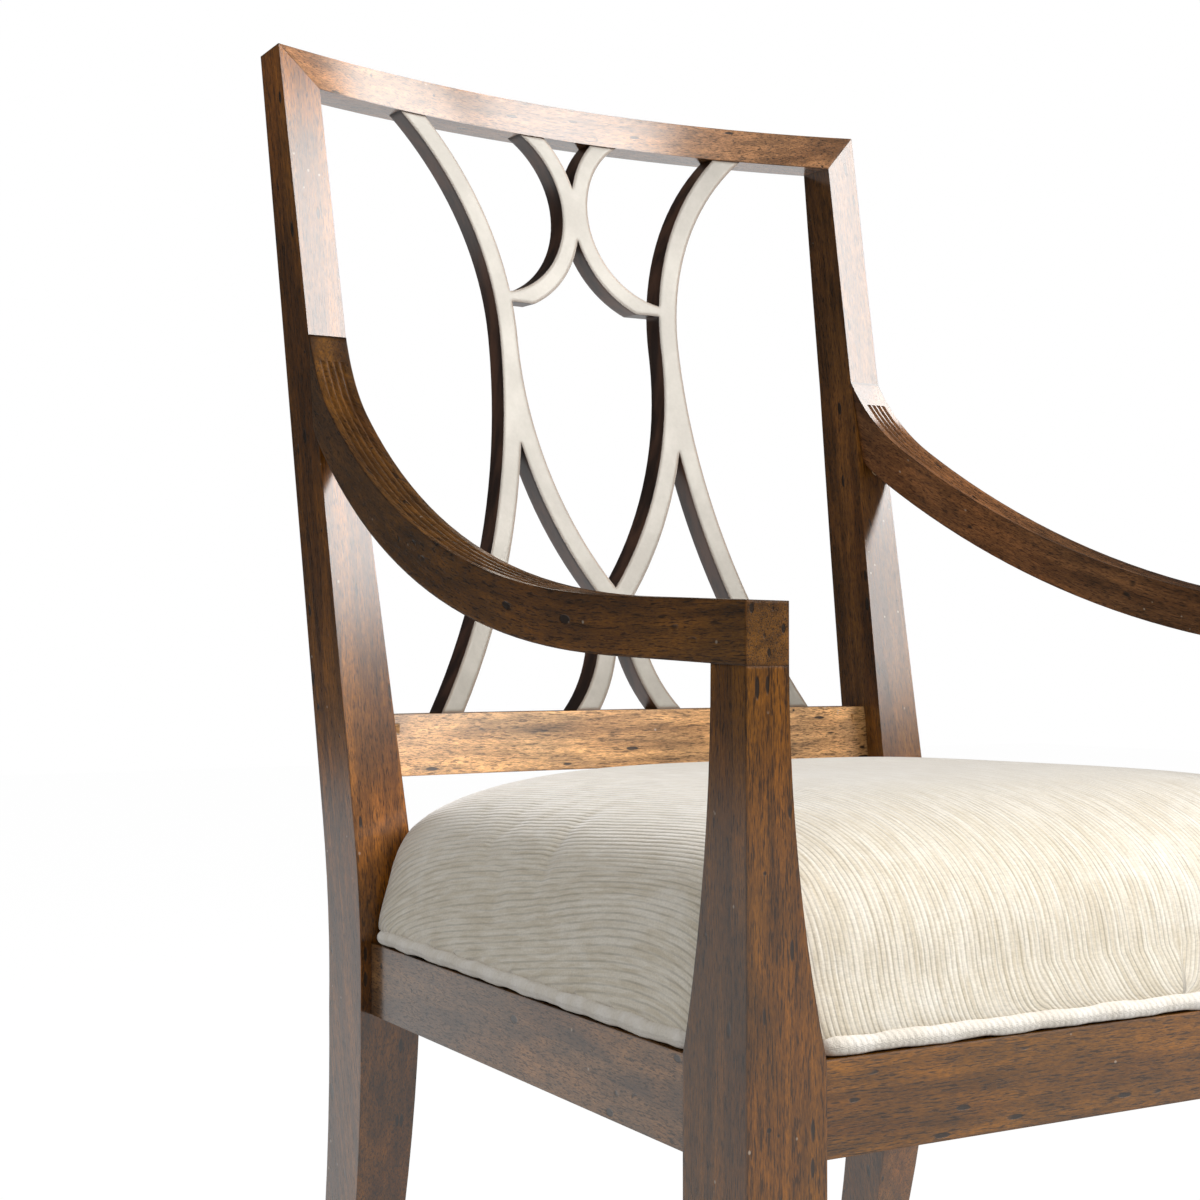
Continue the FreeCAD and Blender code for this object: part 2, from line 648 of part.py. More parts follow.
def reed_groove(shift):
    """One groove of the reeding: a cutter whose two hollow flanks meet in a sharp edge, each in two
    flats, carried along the top of the arm. shift is its distance from the middle of the arm."""
    points = reed_path(shift)
    curve = Part.BSplineCurve()
    curve.interpolate(points)
    path = Part.Wire([curve.toShape()])
    start = points[0]
    along = (points[1] - points[0]).normalize()
    up = V(1, 0, 0).cross(along).normalize()

    def at(across, height):
        return start + V(across, 0, 0) + up * height

    def flank(across):
        return math.sqrt(REED_RADIUS ** 2 - (REED_PITCH / 2 - across) ** 2) - REED_RADIUS

    edge = REED_PITCH / 2 - REED_FLAT
    ring = Part.Wire([
        line(at(-edge, flank(edge)), at(-edge / 2, flank(edge / 2))),
        line(at(-edge / 2, flank(edge / 2)), at(0, flank(0))),
        line(at(0, flank(0)), at(edge / 2, flank(edge / 2))),
        line(at(edge / 2, flank(edge / 2)), at(edge, flank(edge))),
        line(at(edge, flank(edge)), at(edge, REED_PITCH)),
        line(at(edge, REED_PITCH), at(-edge, REED_PITCH)),
        line(at(-edge, REED_PITCH), at(-edge, flank(edge))),
    ])
    sweep = Part.BRepOffsetAPI.MakePipeShell(path)
    sweep.setBiNormalMode(V(1, 0, 0))
    sweep.add(ring)
    sweep.build()
    sweep.makeSolid()
    return sweep.shape()


def arm():
    """The left arm: its side outline cut to its plan outline, coped to the rear post, then reeded."""
    body = arm_side().common(arm_plan()).cut(REAR_SIDE)
    body = body.cut(arm_tenon(JOINT_CLEARANCE))
    for height in DOWEL_HEIGHTS:
        body = body.cut(arm_dowel(height, JOINT_CLEARANCE))
    return body


def side_rail_line():
    """The outer face of the left side rail in plan: its front and rear ends, and the unit
    vectors along it and into the seat."""
    front = V(-FRONT_WIDTH / 2 + SIDE_RAIL_INSET_FRONT, FRONT_POST_BACK, 0)
    rear = V(-REAR_WIDTH_AT_SEAT / 2 + SIDE_RAIL_INSET_REAR, 0, 0)
    along = (rear - front).normalize()
    return front, rear, along, V(along.y, -along.x, 0)


def side_rail_block(start, end, out, inward, low, high):
    """A bar that follows the left side rail, from start before its front end to end past its rear."""
    front, rear, along, into = side_rail_line()
    a = front - along * start
    b = rear + along * end
    corners = [a + into * out, b + into * out, b + into * inward, a + into * inward]
    return polygon([V(p.x, p.y, low) for p in corners]).extrude(V(0, 0, high - low))


def side_rail_tenons(gap):
    out = (RAIL_THICKNESS - RAIL_TENON_THICKNESS) / 2
    low = RAIL_BOTTOM + TENON_SHOULDER
    high = RAIL_TOP - TENON_SHOULDER
    reach = RAIL_TENON_LENGTH + gap
    return side_rail_block(reach, reach, out - gap, out + RAIL_TENON_THICKNESS + gap, low - gap, high + gap)


def side_rail():
    blank = side_rail_block(TENON_SHOULDER, TENON_SHOULDER, 0, RAIL_THICKNESS, RAIL_BOTTOM, RAIL_TOP)
    body = blank.cut(LEFT_REAR_BLANK).cut(box(V(-WIDE, -WIDE, 0), V(WIDE, FRONT_POST_BACK, HIGH)))
    return body.fuse(side_rail_tenons(0)).removeSplitter()


def cross_rail(inner, face, tenon_length):
    """A rail between the two posts at the front or the back: inner is half the gap between them."""
    return box(V(-inner, face, RAIL_BOTTOM), V(inner, face + RAIL_THICKNESS, RAIL_TOP)).fuse(
        cross_rail_tenon(inner, face, tenon_length, 0)).removeSplitter()


def cross_rail_tenon(inner, face, tenon_length, gap):
    middle = face + RAIL_THICKNESS / 2
    half = RAIL_TENON_THICKNESS / 2
    reach = inner + tenon_length
    low = RAIL_BOTTOM + TENON_SHOULDER
    high = RAIL_TOP - TENON_SHOULDER
    return grown(V(-reach, middle - half, low), V(reach, middle + half, high), gap)


def front_block_plan():
    """Corners of the front left corner block, fitted round the front post."""
    front, rear, along, into = side_rail_line()
    face = FRONT_FACE + FRONT_RAIL_INSET + RAIL_THICKNESS + BLOCK_GAP
    inner = -FRONT_POST_INNER + BLOCK_GAP
    back = FRONT_POST_BACK + BLOCK_GAP
    near = rail_inner_x(back)
    far_y = back + BLOCK_REACH_FRONT
    return [V(inner, face, 0), V(inner + BLOCK_REACH_FRONT, face, 0), V(rail_inner_x(far_y), far_y, 0),
            V(near, back, 0), V(inner, back, 0)]


def rail_inner_x(y):
    """The x of the inner face of the left side rail at y, with the gap of a corner block."""
    front, rear, along, into = side_rail_line()
    point = front + into * (RAIL_THICKNESS + BLOCK_GAP)
    return point.x + along.x * (y - point.y) / along.y


def rear_block_plan():
    """Corners of the rear left corner block, fitted round the rear post."""
    face = REAR_RAIL_SETBACK - BLOCK_GAP
    inner = -REAR_POST_INNER + BLOCK_GAP
    back = -BLOCK_GAP
    far_y = back - BLOCK_REACH_REAR
    return [V(inner, face, 0), V(inner, back, 0), V(rail_inner_x(back), back, 0),
            V(rail_inner_x(far_y), far_y, 0), V(inner + BLOCK_REACH_REAR, face, 0)]


def screw(seat, along, length):
    """A pan-headed wood screw. seat is where its head rests, and along points to its tip."""
    shank = Part.makeCylinder(SCREW_RADIUS, length, seat, along)
    return shank.fuse(Part.makeCylinder(SCREW_HEAD_RADIUS, SCREW_HEAD_HEIGHT, seat, along * -1)).removeSplitter()


def screw_hole(seat, along, length):
    """The hole for a screw."""
    return Part.makeCylinder(SCREW_RADIUS + JOINT_CLEARANCE, length + JOINT_CLEARANCE, seat, along)


def block_screws(corners_front, corners_rear):
    """Seat and direction of the screws of the left corner blocks. Each starts in the middle of its
    block's slanted face, square to it, and ends in the post."""
    z = RAIL_TOP - BLOCK_HEIGHT / 2
    places = []
    for a, b in ((corners_front[1], corners_front[2]), (corners_rear[4], corners_rear[3])):
        slant = (b - a).normalize()
        towards_post = V(-abs(slant.y), math.copysign(slant.x, (b - a).y * -1), 0)
        places.append(((a + b) * 0.5 + V(0, 0, z), towards_post))
    return places


def seat_screws(corners_front, corners_rear):
    """Seat and direction of the screws that pass up through the left corner blocks into the board."""
    z = RAIL_TOP - BLOCK_HEIGHT
    front = corners_front[0] + V(SEAT_SCREW_INSET, SEAT_SCREW_INSET / 2, z)
    rear = corners_rear[0] + V(SEAT_SCREW_INSET, -SEAT_SCREW_INSET / 2, z)
    return [(front, V(0, 0, 1)), (rear, V(0, 0, 1))]


def seat_outline(inset):
    """Corners of the seat in plan, before its notches, inset from the outer faces of the rails."""
    front, rear, along, into = side_rail_line()
    front_y = FRONT_FACE + FRONT_RAIL_INSET + inset
    rear_y = REAR_RAIL_SETBACK + RAIL_THICKNESS - inset
    edge = front + into * inset
    def x_at(y):
        return edge.x + along.x * (y - edge.y) / along.y
    return [V(x_at(front_y), front_y, 0), V(-x_at(front_y), front_y, 0), V(-x_at(rear_y), rear_y, 0),
            V(x_at(rear_y), rear_y, 0)]


def post_notches(gap):
    """Boxes round the four posts that the seat is notched for."""
    low = RAIL_BOTTOM
    front = grown(V(-WIDE, -WIDE, low), V(-FRONT_POST_INNER, FRONT_POST_BACK, HIGH), gap)
    rear = grown(V(-WIDE, 0, low), V(-REAR_POST_INNER, WIDE, HIGH), gap)
    return [front, rear, mirrored(front), mirrored(rear)]


def notched(shape, gap):
    for notch in post_notches(gap):
        shape = shape.cut(notch)
    return shape


def seat_board():
    corners = [p + V(0, 0, RAIL_TOP) for p in seat_outline(BOARD_INSET)]
    board = polygon(corners).extrude(V(0, 0, BOARD_THICKNESS))
    return notched(board, SEAT_NOTCH_GAP)


def crowned(inset, crown, base, bow, steps):
    """A crowned pad: seat outlines whose sides bow out, and that draw in as they rise, lofted through
    each other. inset is how far its side stands inside the rails, crown is its height above base, and
    each step has a share of that height and how far the outline is drawn in there."""
    wires = []
    for share, drawn in steps:
        corners = seat_outline(inset + drawn)
        z = V(0, 0, base + crown * share)
        centre = (corners[0] + corners[1] + corners[2] + corners[3]) * 0.25
        edges = []
        for a, b in zip(corners, corners[1:] + corners[:1]):
            middle = (a + b) * 0.5
            out = (middle - centre).normalize() * bow
            edges.append(arc(a + z, middle + out + z, b + z) if bow else line(a + z, b + z))
        wires.append(Part.Wire(edges))
    return Part.makeLoft(wires, True, True)


def seat_foam():
    base = RAIL_TOP + BOARD_THICKNESS + FOAM_LIFT
    crown = CUSHION_CROWN_HEIGHT - COVER_THICKNESS - BOARD_THICKNESS
    pad = crowned(COVER_THICKNESS + SOFT_GAP, crown, base, 0, FOAM_STEPS)
    return notched(pad, COVER_THICKNESS + SEAT_NOTCH_GAP)


def seat_cover(foam):
    """The cover with its wadding: the outer crowned form, hollow for the foam and the board."""
    base = RAIL_TOP + SOFT_GAP
    outer = crowned(0, CUSHION_CROWN_HEIGHT - SOFT_GAP, base, CUSHION_SIDE_BOW, COVER_STEPS)
    outer = notched(outer, SEAT_NOTCH_GAP)
    hollow_base = RAIL_TOP - BOARD_THICKNESS
    crown = CUSHION_CROWN_HEIGHT - COVER_THICKNESS - BOARD_THICKNESS + SOFT_GAP
    inner = crowned(COVER_THICKNESS, crown, RAIL_TOP + BOARD_THICKNESS + FOAM_LIFT, 0, FOAM_STEPS)
    corners = [p + V(0, 0, hollow_base) for p in seat_outline(BOARD_INSET - SOFT_GAP)]
    tray = polygon(corners).extrude(V(0, 0, 2 * BOARD_THICKNESS + 2 * FOAM_LIFT))
    hollow = notched(inner, COVER_THICKNESS + SEAT_NOTCH_GAP - SOFT_GAP)
    tray = notched(tray, SEAT_NOTCH_GAP - SOFT_GAP)
    cover = outer.cut(hollow).cut(tray)
    for cutter in welt_bars(SOFT_GAP):
        cover = cover.cut(cutter)
    return cover


def welt_bars(gap):
    """Piping along the foot of the seat, one straight bar a side between the posts."""
    z = RAIL_TOP + SOFT_GAP + WELT_RADIUS
    corners = [p + V(0, 0, z) for p in seat_outline(WELT_RADIUS - WELT_PROUD)]
    bars = []
    for a, b in zip(corners, corners[1:] + corners[:1]):
        along = b - a
        bars.append(Part.makeCylinder(WELT_RADIUS + gap, along.Length, a, along))
    return [notched(bar, SEAT_NOTCH_GAP) for bar in bars]


def dust_cover():
    """A sheet under the seat board, inside the rails, with its corners cut off at the corner blocks."""
    corners = seat_outline(RAIL_THICKNESS + DUST_COVER_INSET)
    front_y = front_block_plan()[2].y + DUST_COVER_INSET
    front_x = front_block_plan()[1].x + DUST_COVER_INSET
    rear_y = rear_block_plan()[3].y - DUST_COVER_INSET
    rear_x = rear_block_plan()[4].x + DUST_COVER_INSET
    run = (corners[3].x - corners[0].x) / (corners[3].y - corners[0].y)
    left = [
        V(front_x, corners[0].y, 0),
        V(corners[0].x + run * (front_y - corners[0].y), front_y, 0),
        V(corners[0].x + run * (rear_y - corners[0].y), rear_y, 0),
        V(rear_x, REAR_RAIL_SETBACK - DUST_COVER_INSET, 0),
    ]
    outline = left + [V(-p.x, p.y, 0) for p in reversed(left)]
    low = V(0, 0, RAIL_TOP - DUST_COVER_THICKNESS)
    return polygon([p + low for p in outline]).extrude(V(0, 0, DUST_COVER_THICKNESS))


def glide(x, y, gap=0.0):
    """A nail-on glide: a disc under the foot and the nail that holds it."""
    disc = Part.makeCylinder(GLIDE_RADIUS, GLIDE_HEIGHT, V(x, y, 0))
    nail = Part.makeCylinder(NAIL_RADIUS + gap, GLIDE_HEIGHT + NAIL_LENGTH + gap, V(x, y, 0))
    return nail if gap else disc.fuse(nail).removeSplitter()


def foot_points():
    """The middle of the left feet, in plan."""
    front = (-FRONT_WIDTH / 2 + FRONT_LEG_WIDTH_FOOT / 2, FRONT_FACE + FRONT_LEG_DEPTH_FOOT / 2)
    drop = POST_BEND_HEIGHT - GLIDE_HEIGHT
    rear_y = LEG_SABRE_RADIUS - math.sqrt(LEG_SABRE_RADIUS ** 2 - drop ** 2) + POST_DEPTH_FOOT / 2
    rear = (-REAR_WIDTH_AT_FLOOR / 2 + POST_WIDTH_FOOT / 2, rear_y)
    return front, rear


def main():
    nodes = {}
    right_post = RIGHT_REAR_BLANK.cut(mitre_prism()).cut(crest_tenon(JOINT_CLEARANCE))
    right_post = right_post.cut(lower_rail_tenon(JOINT_CLEARANCE))
    left_post = mirrored(right_post)
    front_feet, rear_feet = foot_points()
    left_post = left_post.cut(side_rail_tenons(JOINT_CLEARANCE))
    rear_tenon = cross_rail_tenon(REAR_POST_INNER, REAR_RAIL_SETBACK, REAR_RAIL_TENON_LENGTH, JOINT_CLEARANCE)
    left_post = left_post.cut(rear_tenon).cut(glide(*rear_feet, JOINT_CLEARANCE))
    for height in DOWEL_HEIGHTS:
        left_post = left_post.cut(arm_dowel(height, JOINT_CLEARANCE))
    nodes["left_rear_post"] = left_post
    nodes["right_rear_post"] = mirrored(left_post)

    left_front = front_post().cut(side_rail_tenons(JOINT_CLEARANCE))
    front_face = FRONT_FACE + FRONT_RAIL_INSET
    front_tenon = cross_rail_tenon(FRONT_POST_INNER, front_face, RAIL_TENON_LENGTH, JOINT_CLEARANCE)
    left_front = left_front.cut(front_tenon).cut(glide(*front_feet, JOINT_CLEARANCE))
    nodes["left_front_post"] = left_front
    nodes["right_front_post"] = mirrored(left_front)

    tenon = crest_tenon(0)
    crest = crest_rail().fuse(tenon).fuse(mirrored(tenon)).removeSplitter()
    lower = lower_back_rail()
    lower = lower.cut(LEFT_REAR_BLANK).cut(RIGHT_REAR_BLANK)
    tenon = lower_rail_tenon(0)
    lower = lower.fuse(tenon).fuse(mirrored(tenon)).removeSplitter()
    for mortise in splat_tenons(JOINT_CLEARANCE):
        crest = crest.cut(mortise)
        lower = lower.cut(mortise)
    nodes["crest_rail"] = crest
    nodes["lower_back_rail"] = lower
    nodes["back_splat"] = back_splat()

    left_arm = arm()
    first = -(REED_GROOVES - 1) / 2
    for index in range(REED_GROOVES):
        left_arm = left_arm.cut(reed_groove((first + index) * REED_PITCH))
    nodes["left_arm"] = left_arm
    nodes["right_arm"] = mirrored(left_arm)

    nodes["left_side_rail"] = side_rail()
    nodes["right_side_rail"] = mirrored(nodes["left_side_rail"])
    nodes["front_seat_rail"] = cross_rail(FRONT_POST_INNER, front_face, RAIL_TENON_LENGTH)
    nodes["rear_seat_rail"] = cross_rail(REAR_POST_INNER, REAR_RAIL_SETBACK, REAR_RAIL_TENON_LENGTH)

    front_plan = front_block_plan()
    rear_plan = rear_block_plan()
    places = block_screws(front_plan, rear_plan)
    lifts = seat_screws(front_plan, rear_plan)
    low = V(0, 0, RAIL_TOP - BLOCK_HEIGHT)
    blocks = {}
    for name, plan in (("front", front_plan), ("rear", rear_plan)):
        blocks[name] = polygon([p + low for p in plan]).extrude(V(0, 0, BLOCK_HEIGHT))
    block_fixings = [screw(seat, along, BLOCK_SCREW_LENGTH) for seat, along in places]
    seat_fixings = [screw(seat, along, SEAT_SCREW_LENGTH) for seat, along in lifts]
    screw_holes = [screw_hole(seat, along, BLOCK_SCREW_LENGTH) for seat, along in places]
    seat_holes = [screw_hole(seat, along, SEAT_SCREW_LENGTH) for seat, along in lifts]
    for name in blocks:
        for hole in screw_holes + seat_holes:
            blocks[name] = blocks[name].cut(hole)
        nodes["left_" + name + "_corner_block"] = blocks[name]
        nodes["right_" + name + "_corner_block"] = mirrored(blocks[name])
    for name, hole in (("left_front_post", screw_holes[0]), ("left_rear_post", screw_holes[1])):
        nodes[name] = nodes[name].cut(hole)
        nodes[name.replace("left", "right")] = mirrored(nodes[name])
    block_fixings += [mirrored(s) for s in block_fixings]
    seat_fixings += [mirrored(s) for s in seat_fixings]
    nodes["corner_block_screws"] = Part.makeCompound(block_fixings)
    nodes["seat_fixing_screws"] = Part.makeCompound(seat_fixings)

    board = seat_board()
    for hole in seat_holes:
        board = board.cut(hole).cut(mirrored(hole))
    nodes["seat_board"] = board
    nodes["seat_foam"] = seat_foam()
    nodes["seat_cover"] = seat_cover(nodes["seat_foam"])
    nodes["seat_welt"] = Part.makeCompound(welt_bars(0))
    nodes["dust_cover"] = dust_cover()

    dowels = [arm_dowel(height, 0) for height in DOWEL_HEIGHTS]
    nodes["arm_dowels"] = Part.makeCompound(dowels + [mirrored(d) for d in dowels])
    glides = [glide(*front_feet), glide(*rear_feet)]
    nodes["foot_glides"] = Part.makeCompound(glides + [mirrored(g) for g in glides])

    everything = Part.makeCompound(list(nodes.values())).optimalBoundingBox(False)
    centre = V(-everything.Center.x, -everything.Center.y, 0)
    os.makedirs("parts", exist_ok=True)
    for name, shape in nodes.items():
        placed = shape.copy()
        placed.translate(centre)
        solids = placed.Solids
        print(name, len(solids), "solids", round(placed.Volume / 1000, 1), "cm3", "valid" if placed.isValid() else "BAD")
        result = solids[0] if len(solids) == 1 else Part.makeCompound(solids)
        result.exportStep("parts/" + name + ".step")
    print("shift", round(centre.y, 3))


REAR_SIDE = rear_post_side()
RIGHT_REAR_BLANK = REAR_SIDE.common(rear_post_front())
LEFT_REAR_BLANK = mirrored(RIGHT_REAR_BLANK)

main()
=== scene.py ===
import bmesh
import bpy
import numpy as np
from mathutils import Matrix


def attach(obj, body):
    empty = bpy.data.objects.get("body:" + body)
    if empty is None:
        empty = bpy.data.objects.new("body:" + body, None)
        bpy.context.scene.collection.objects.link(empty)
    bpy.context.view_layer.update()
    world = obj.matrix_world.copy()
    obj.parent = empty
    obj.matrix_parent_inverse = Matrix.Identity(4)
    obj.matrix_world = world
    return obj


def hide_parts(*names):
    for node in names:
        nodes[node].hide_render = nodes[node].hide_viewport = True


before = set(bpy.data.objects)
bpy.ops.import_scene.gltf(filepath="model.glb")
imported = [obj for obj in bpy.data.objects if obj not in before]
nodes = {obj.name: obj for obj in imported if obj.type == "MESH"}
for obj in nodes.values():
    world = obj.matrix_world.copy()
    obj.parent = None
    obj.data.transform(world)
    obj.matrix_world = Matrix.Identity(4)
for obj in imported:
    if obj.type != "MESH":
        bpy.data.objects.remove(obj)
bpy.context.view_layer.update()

# Sizes are in metres, in the frame's own axes: X across the chair, Y towards its back, Z up.
# The solids' places in Y were drawn from the front of the rear posts at the seat.
REAR_POST_FRONT = 0.155437
SEAT_FRONT = REAR_POST_FRONT - 0.4840
SEAT_REAR = REAR_POST_FRONT + 0.0360
FRONT_POST_BACK = REAR_POST_FRONT - 0.4381
RAIL_TOP = 0.392
RAIL_FRONT_X = 0.2970
RAIL_REAR_X = 0.2442

# Front posts: narrow under the arm, wider down to the rail
HALF_WIDTH = 0.3
FRONT_POST_PROUD = 0.005
FRONT_POST_INNER = 0.2528
FRONT_POST_WIDTHS = (0.0252, 0.0472)
FRONT_POST_DEPTHS = (0.0278, 0.0509)
FLARE_TOP = 0.580
FLARE_RISE = 0.188

# Rear posts: upright at the rail, then an arc back to the rake
REAR_POST_INNER = 0.208
REAR_POST_SPREAD = 0.020
SPREAD_START = 0.396
SPREAD_RISE = 0.408
BEND_RADIUS = 0.546
BEND_START = 0.362
BEND_RISE = 0.1004
BEND_END = 0.4624
RAKE = 0.187

# Arms: level at the front, then a rise of ARM_SWOOP times the square of the distance
ARM_SWOOP_START = -0.245
ARM_SWOOP = 0.66

# Cushion
CROWN = 0.1180
SIDE_RUN = 0.2
SIDE_POWER = 2.75
SIDE_BULGE = 0.0025
LIP_HEIGHT = 0.0068
LIP_INSETS = (0.03, 0.012, 0.004)
LIP_SQUARE = 16.0
SQUARE_LOSS = 12.6
SKIN = 0.004
POST_GAP = 0.0016
BOARD_INSET = 0.0112
BOARD_TOP = 0.0126
CORE_BOTTOM = 0.37
CORE_TOP = 0.56
CORE_REACH = 0.1
CORE_OUTER = 0.42
VOXEL = 0.005
PRESSURE = 4.0
LAST_FRAME = 20
SWELL_CAP = 0.007

# Welt
WELT_RADIUS = 0.0047
WELT_GAP = 0.0012
WELT_INSET = 0.0032
WELT_CORNER = 0.006
WELT_STEPS = 1400

# Cloth patterns
RIB_PITCH = 0.0034
BIAS_PITCH = 0.0042

# The height that the lamps are turned to
LAMP_AIM = 0.75


# shader maths
class Field:
    """A shader value that can be used in an expression."""

    def __init__(self, kit, socket):
        self.kit = kit
        self.socket = socket

    def maths(self, operation, other=None, flipped=False):
        """Adds a Math node on this value and another, or on this value alone."""
        pair = (other, self) if flipped else (self, other)
        values = {0: pair[0]} if other is None else {0: pair[0], 1: pair[1]}
        return self.kit.node("ShaderNodeMath", {"operation": operation}, values)

    def __add__(self, other):
        return self.maths("ADD", other)

    def __sub__(self, other):
        return self.maths("SUBTRACT", other)

    def __mul__(self, other):
        return self.maths("MULTIPLY", other)

    def __pow__(self, other):
        return self.maths("POWER", other)

    def __rsub__(self, other):
        return self.maths("SUBTRACT", other, True)

    __radd__ = __add__
    __rmul__ = __mul__


class Finish:
    """A material or a world whose nodes are written as expressions. Noise and cell scales are in features
    per metre, so 1000 is a millimetre."""

    def __init__(self, name, made_in=bpy.data.materials):
        self.owner = made_in.new(name)
        self.owner.use_nodes = True
        self.tree = self.owner.node_tree
        self.tree.nodes.clear()

    def node(self, kind, settings=None, values=None, out=0):
        """Adds a node of a kind with its settings, sets or links its sockets, and gives one output."""
        item = self.tree.nodes.new(kind)
        for name, value in (settings or {}).items():
            setattr(item, name, value)
        for name, value in (values or {}).items():
            socket = item.inputs[name]
            if isinstance(value, Field):
                self.tree.links.new(value.socket, socket)
            else:
                socket.default_value = value
        return None if out is None else Field(self, item.outputs[out])

    def place(self):
        """Object coordinates, which are the frame's own."""
        return self.node("ShaderNodeTexCoord", out="Object")

    def axes(self, vector):
        """The three parts of a vector."""
        split = self.node("ShaderNodeSeparateXYZ", values={0: vector})
        outputs = split.socket.node.outputs
        return [Field(self, outputs[i]) for i in range(3)]

    def vector(self, x, y, z):
        return self.node("ShaderNodeCombineXYZ", values={0: x, 1: y, 2: z})

    def noise(self, vector, scale, detail=3.0, rough=0.55, twist=0.0):
        values = {
            "Vector": vector,
            "Scale": scale,
            "Detail": detail,
            "Roughness": rough,
            "Distortion": twist,
        }
        return self.node("ShaderNodeTexNoise", values=values)

    def cells(self, vector, scale):
        """The distance to the nearest of scattered points, in cells."""
        return self.node("ShaderNodeTexVoronoi", values={"Vector": vector, "Scale": scale})

    def step(self, value, low, high):
        """0 below low, 1 above high and smooth between; low may be the larger."""
        values = {0: value, 1: low, 2: high, 3: 0.0, 4: 1.0}
        if low > high:
            values = {0: value, 1: high, 2: low, 3: 1.0, 4: 0.0}
        return self.node("ShaderNodeMapRange", {"interpolation_type": "SMOOTHSTEP"}, values)

    def mix(self, factor, a, b):
        """From colour a to colour b."""
        a = a if isinstance(a, Field) else (*a, 1.0)
        b = b if isinstance(b, Field) else (*b, 1.0)
        return self.node("ShaderNodeMix", {"data_type": "RGBA"}, {0: factor, 6: a, 7: b}, 2)

    def tint(self, colour, amount):
        """A colour made lighter or darker by a value round 1."""
        grey = self.vector(amount, amount, amount)
        return self.node("ShaderNodeVectorMath", {"operation": "MULTIPLY"}, {0: colour, 1: grey})

    def bump(self, height, distance, strength=1.0, normal=None):
        values = {"Height": height, "Distance": distance, "Strength": strength}
        if normal is not None:
            values["Normal"] = normal
        return self.node("ShaderNodeBump", values=values)

    def worn_edges(self, radius, full=0.8):
        """How near an edge is, from 0 to 1, and a normal that is rounded there. The mask is 1 where the
        rounded normal's cosine to the flat one is full or less."""
        rounded = self.node("ShaderNodeBevel", {"samples": 6}, {"Radius": radius})
        flat = self.node("ShaderNodeNewGeometry", out="True Normal")
        pair = {0: rounded, 1: flat}
        turn = self.node("ShaderNodeVectorMath", {"operation": "DOT_PRODUCT"}, pair, "Value")
        return self.step(turn, 0.997, full), rounded

    def surface(self, **values):
        """Ends a material in a principled shader, with its inputs' names spelt with underscores."""
        inputs = {name.replace("_", " "): value for name, value in values.items()}
        self.end(self.node("ShaderNodeBsdfPrincipled", values=inputs))
        return self.owner

    def end(self, shader, kind="ShaderNodeOutputMaterial"):
        self.node(kind, values={"Surface": shader}, out=None)


# finishes
def along_grain(kit, way):
    """Coordinates in which the wood's grain runs along the third axis. way is the axis that a straight
    piece runs along, "rake" for the leaning posts, or "arm" for the swoop of an arm, which rises with the
    square of the distance behind its level front."""
    x, y, z = kit.axes(kit.place())
    if way == "Z":
        return x, y, z
    if way == "rake":
        return x, y - z * RAKE, z
    if way == "Y":
        return x, z, y
    if way == "arm":
        behind = (y - ARM_SWOOP_START).maths("MAXIMUM", 0.0)
        return x, z - behind * behind * ARM_SWOOP, y
    return z, y, x


def scaled(colour, red, green, blue):
    """A colour with each channel multiplied by a number of its own."""
    return (colour[0] * red, colour[1] * green, colour[2] * blue)


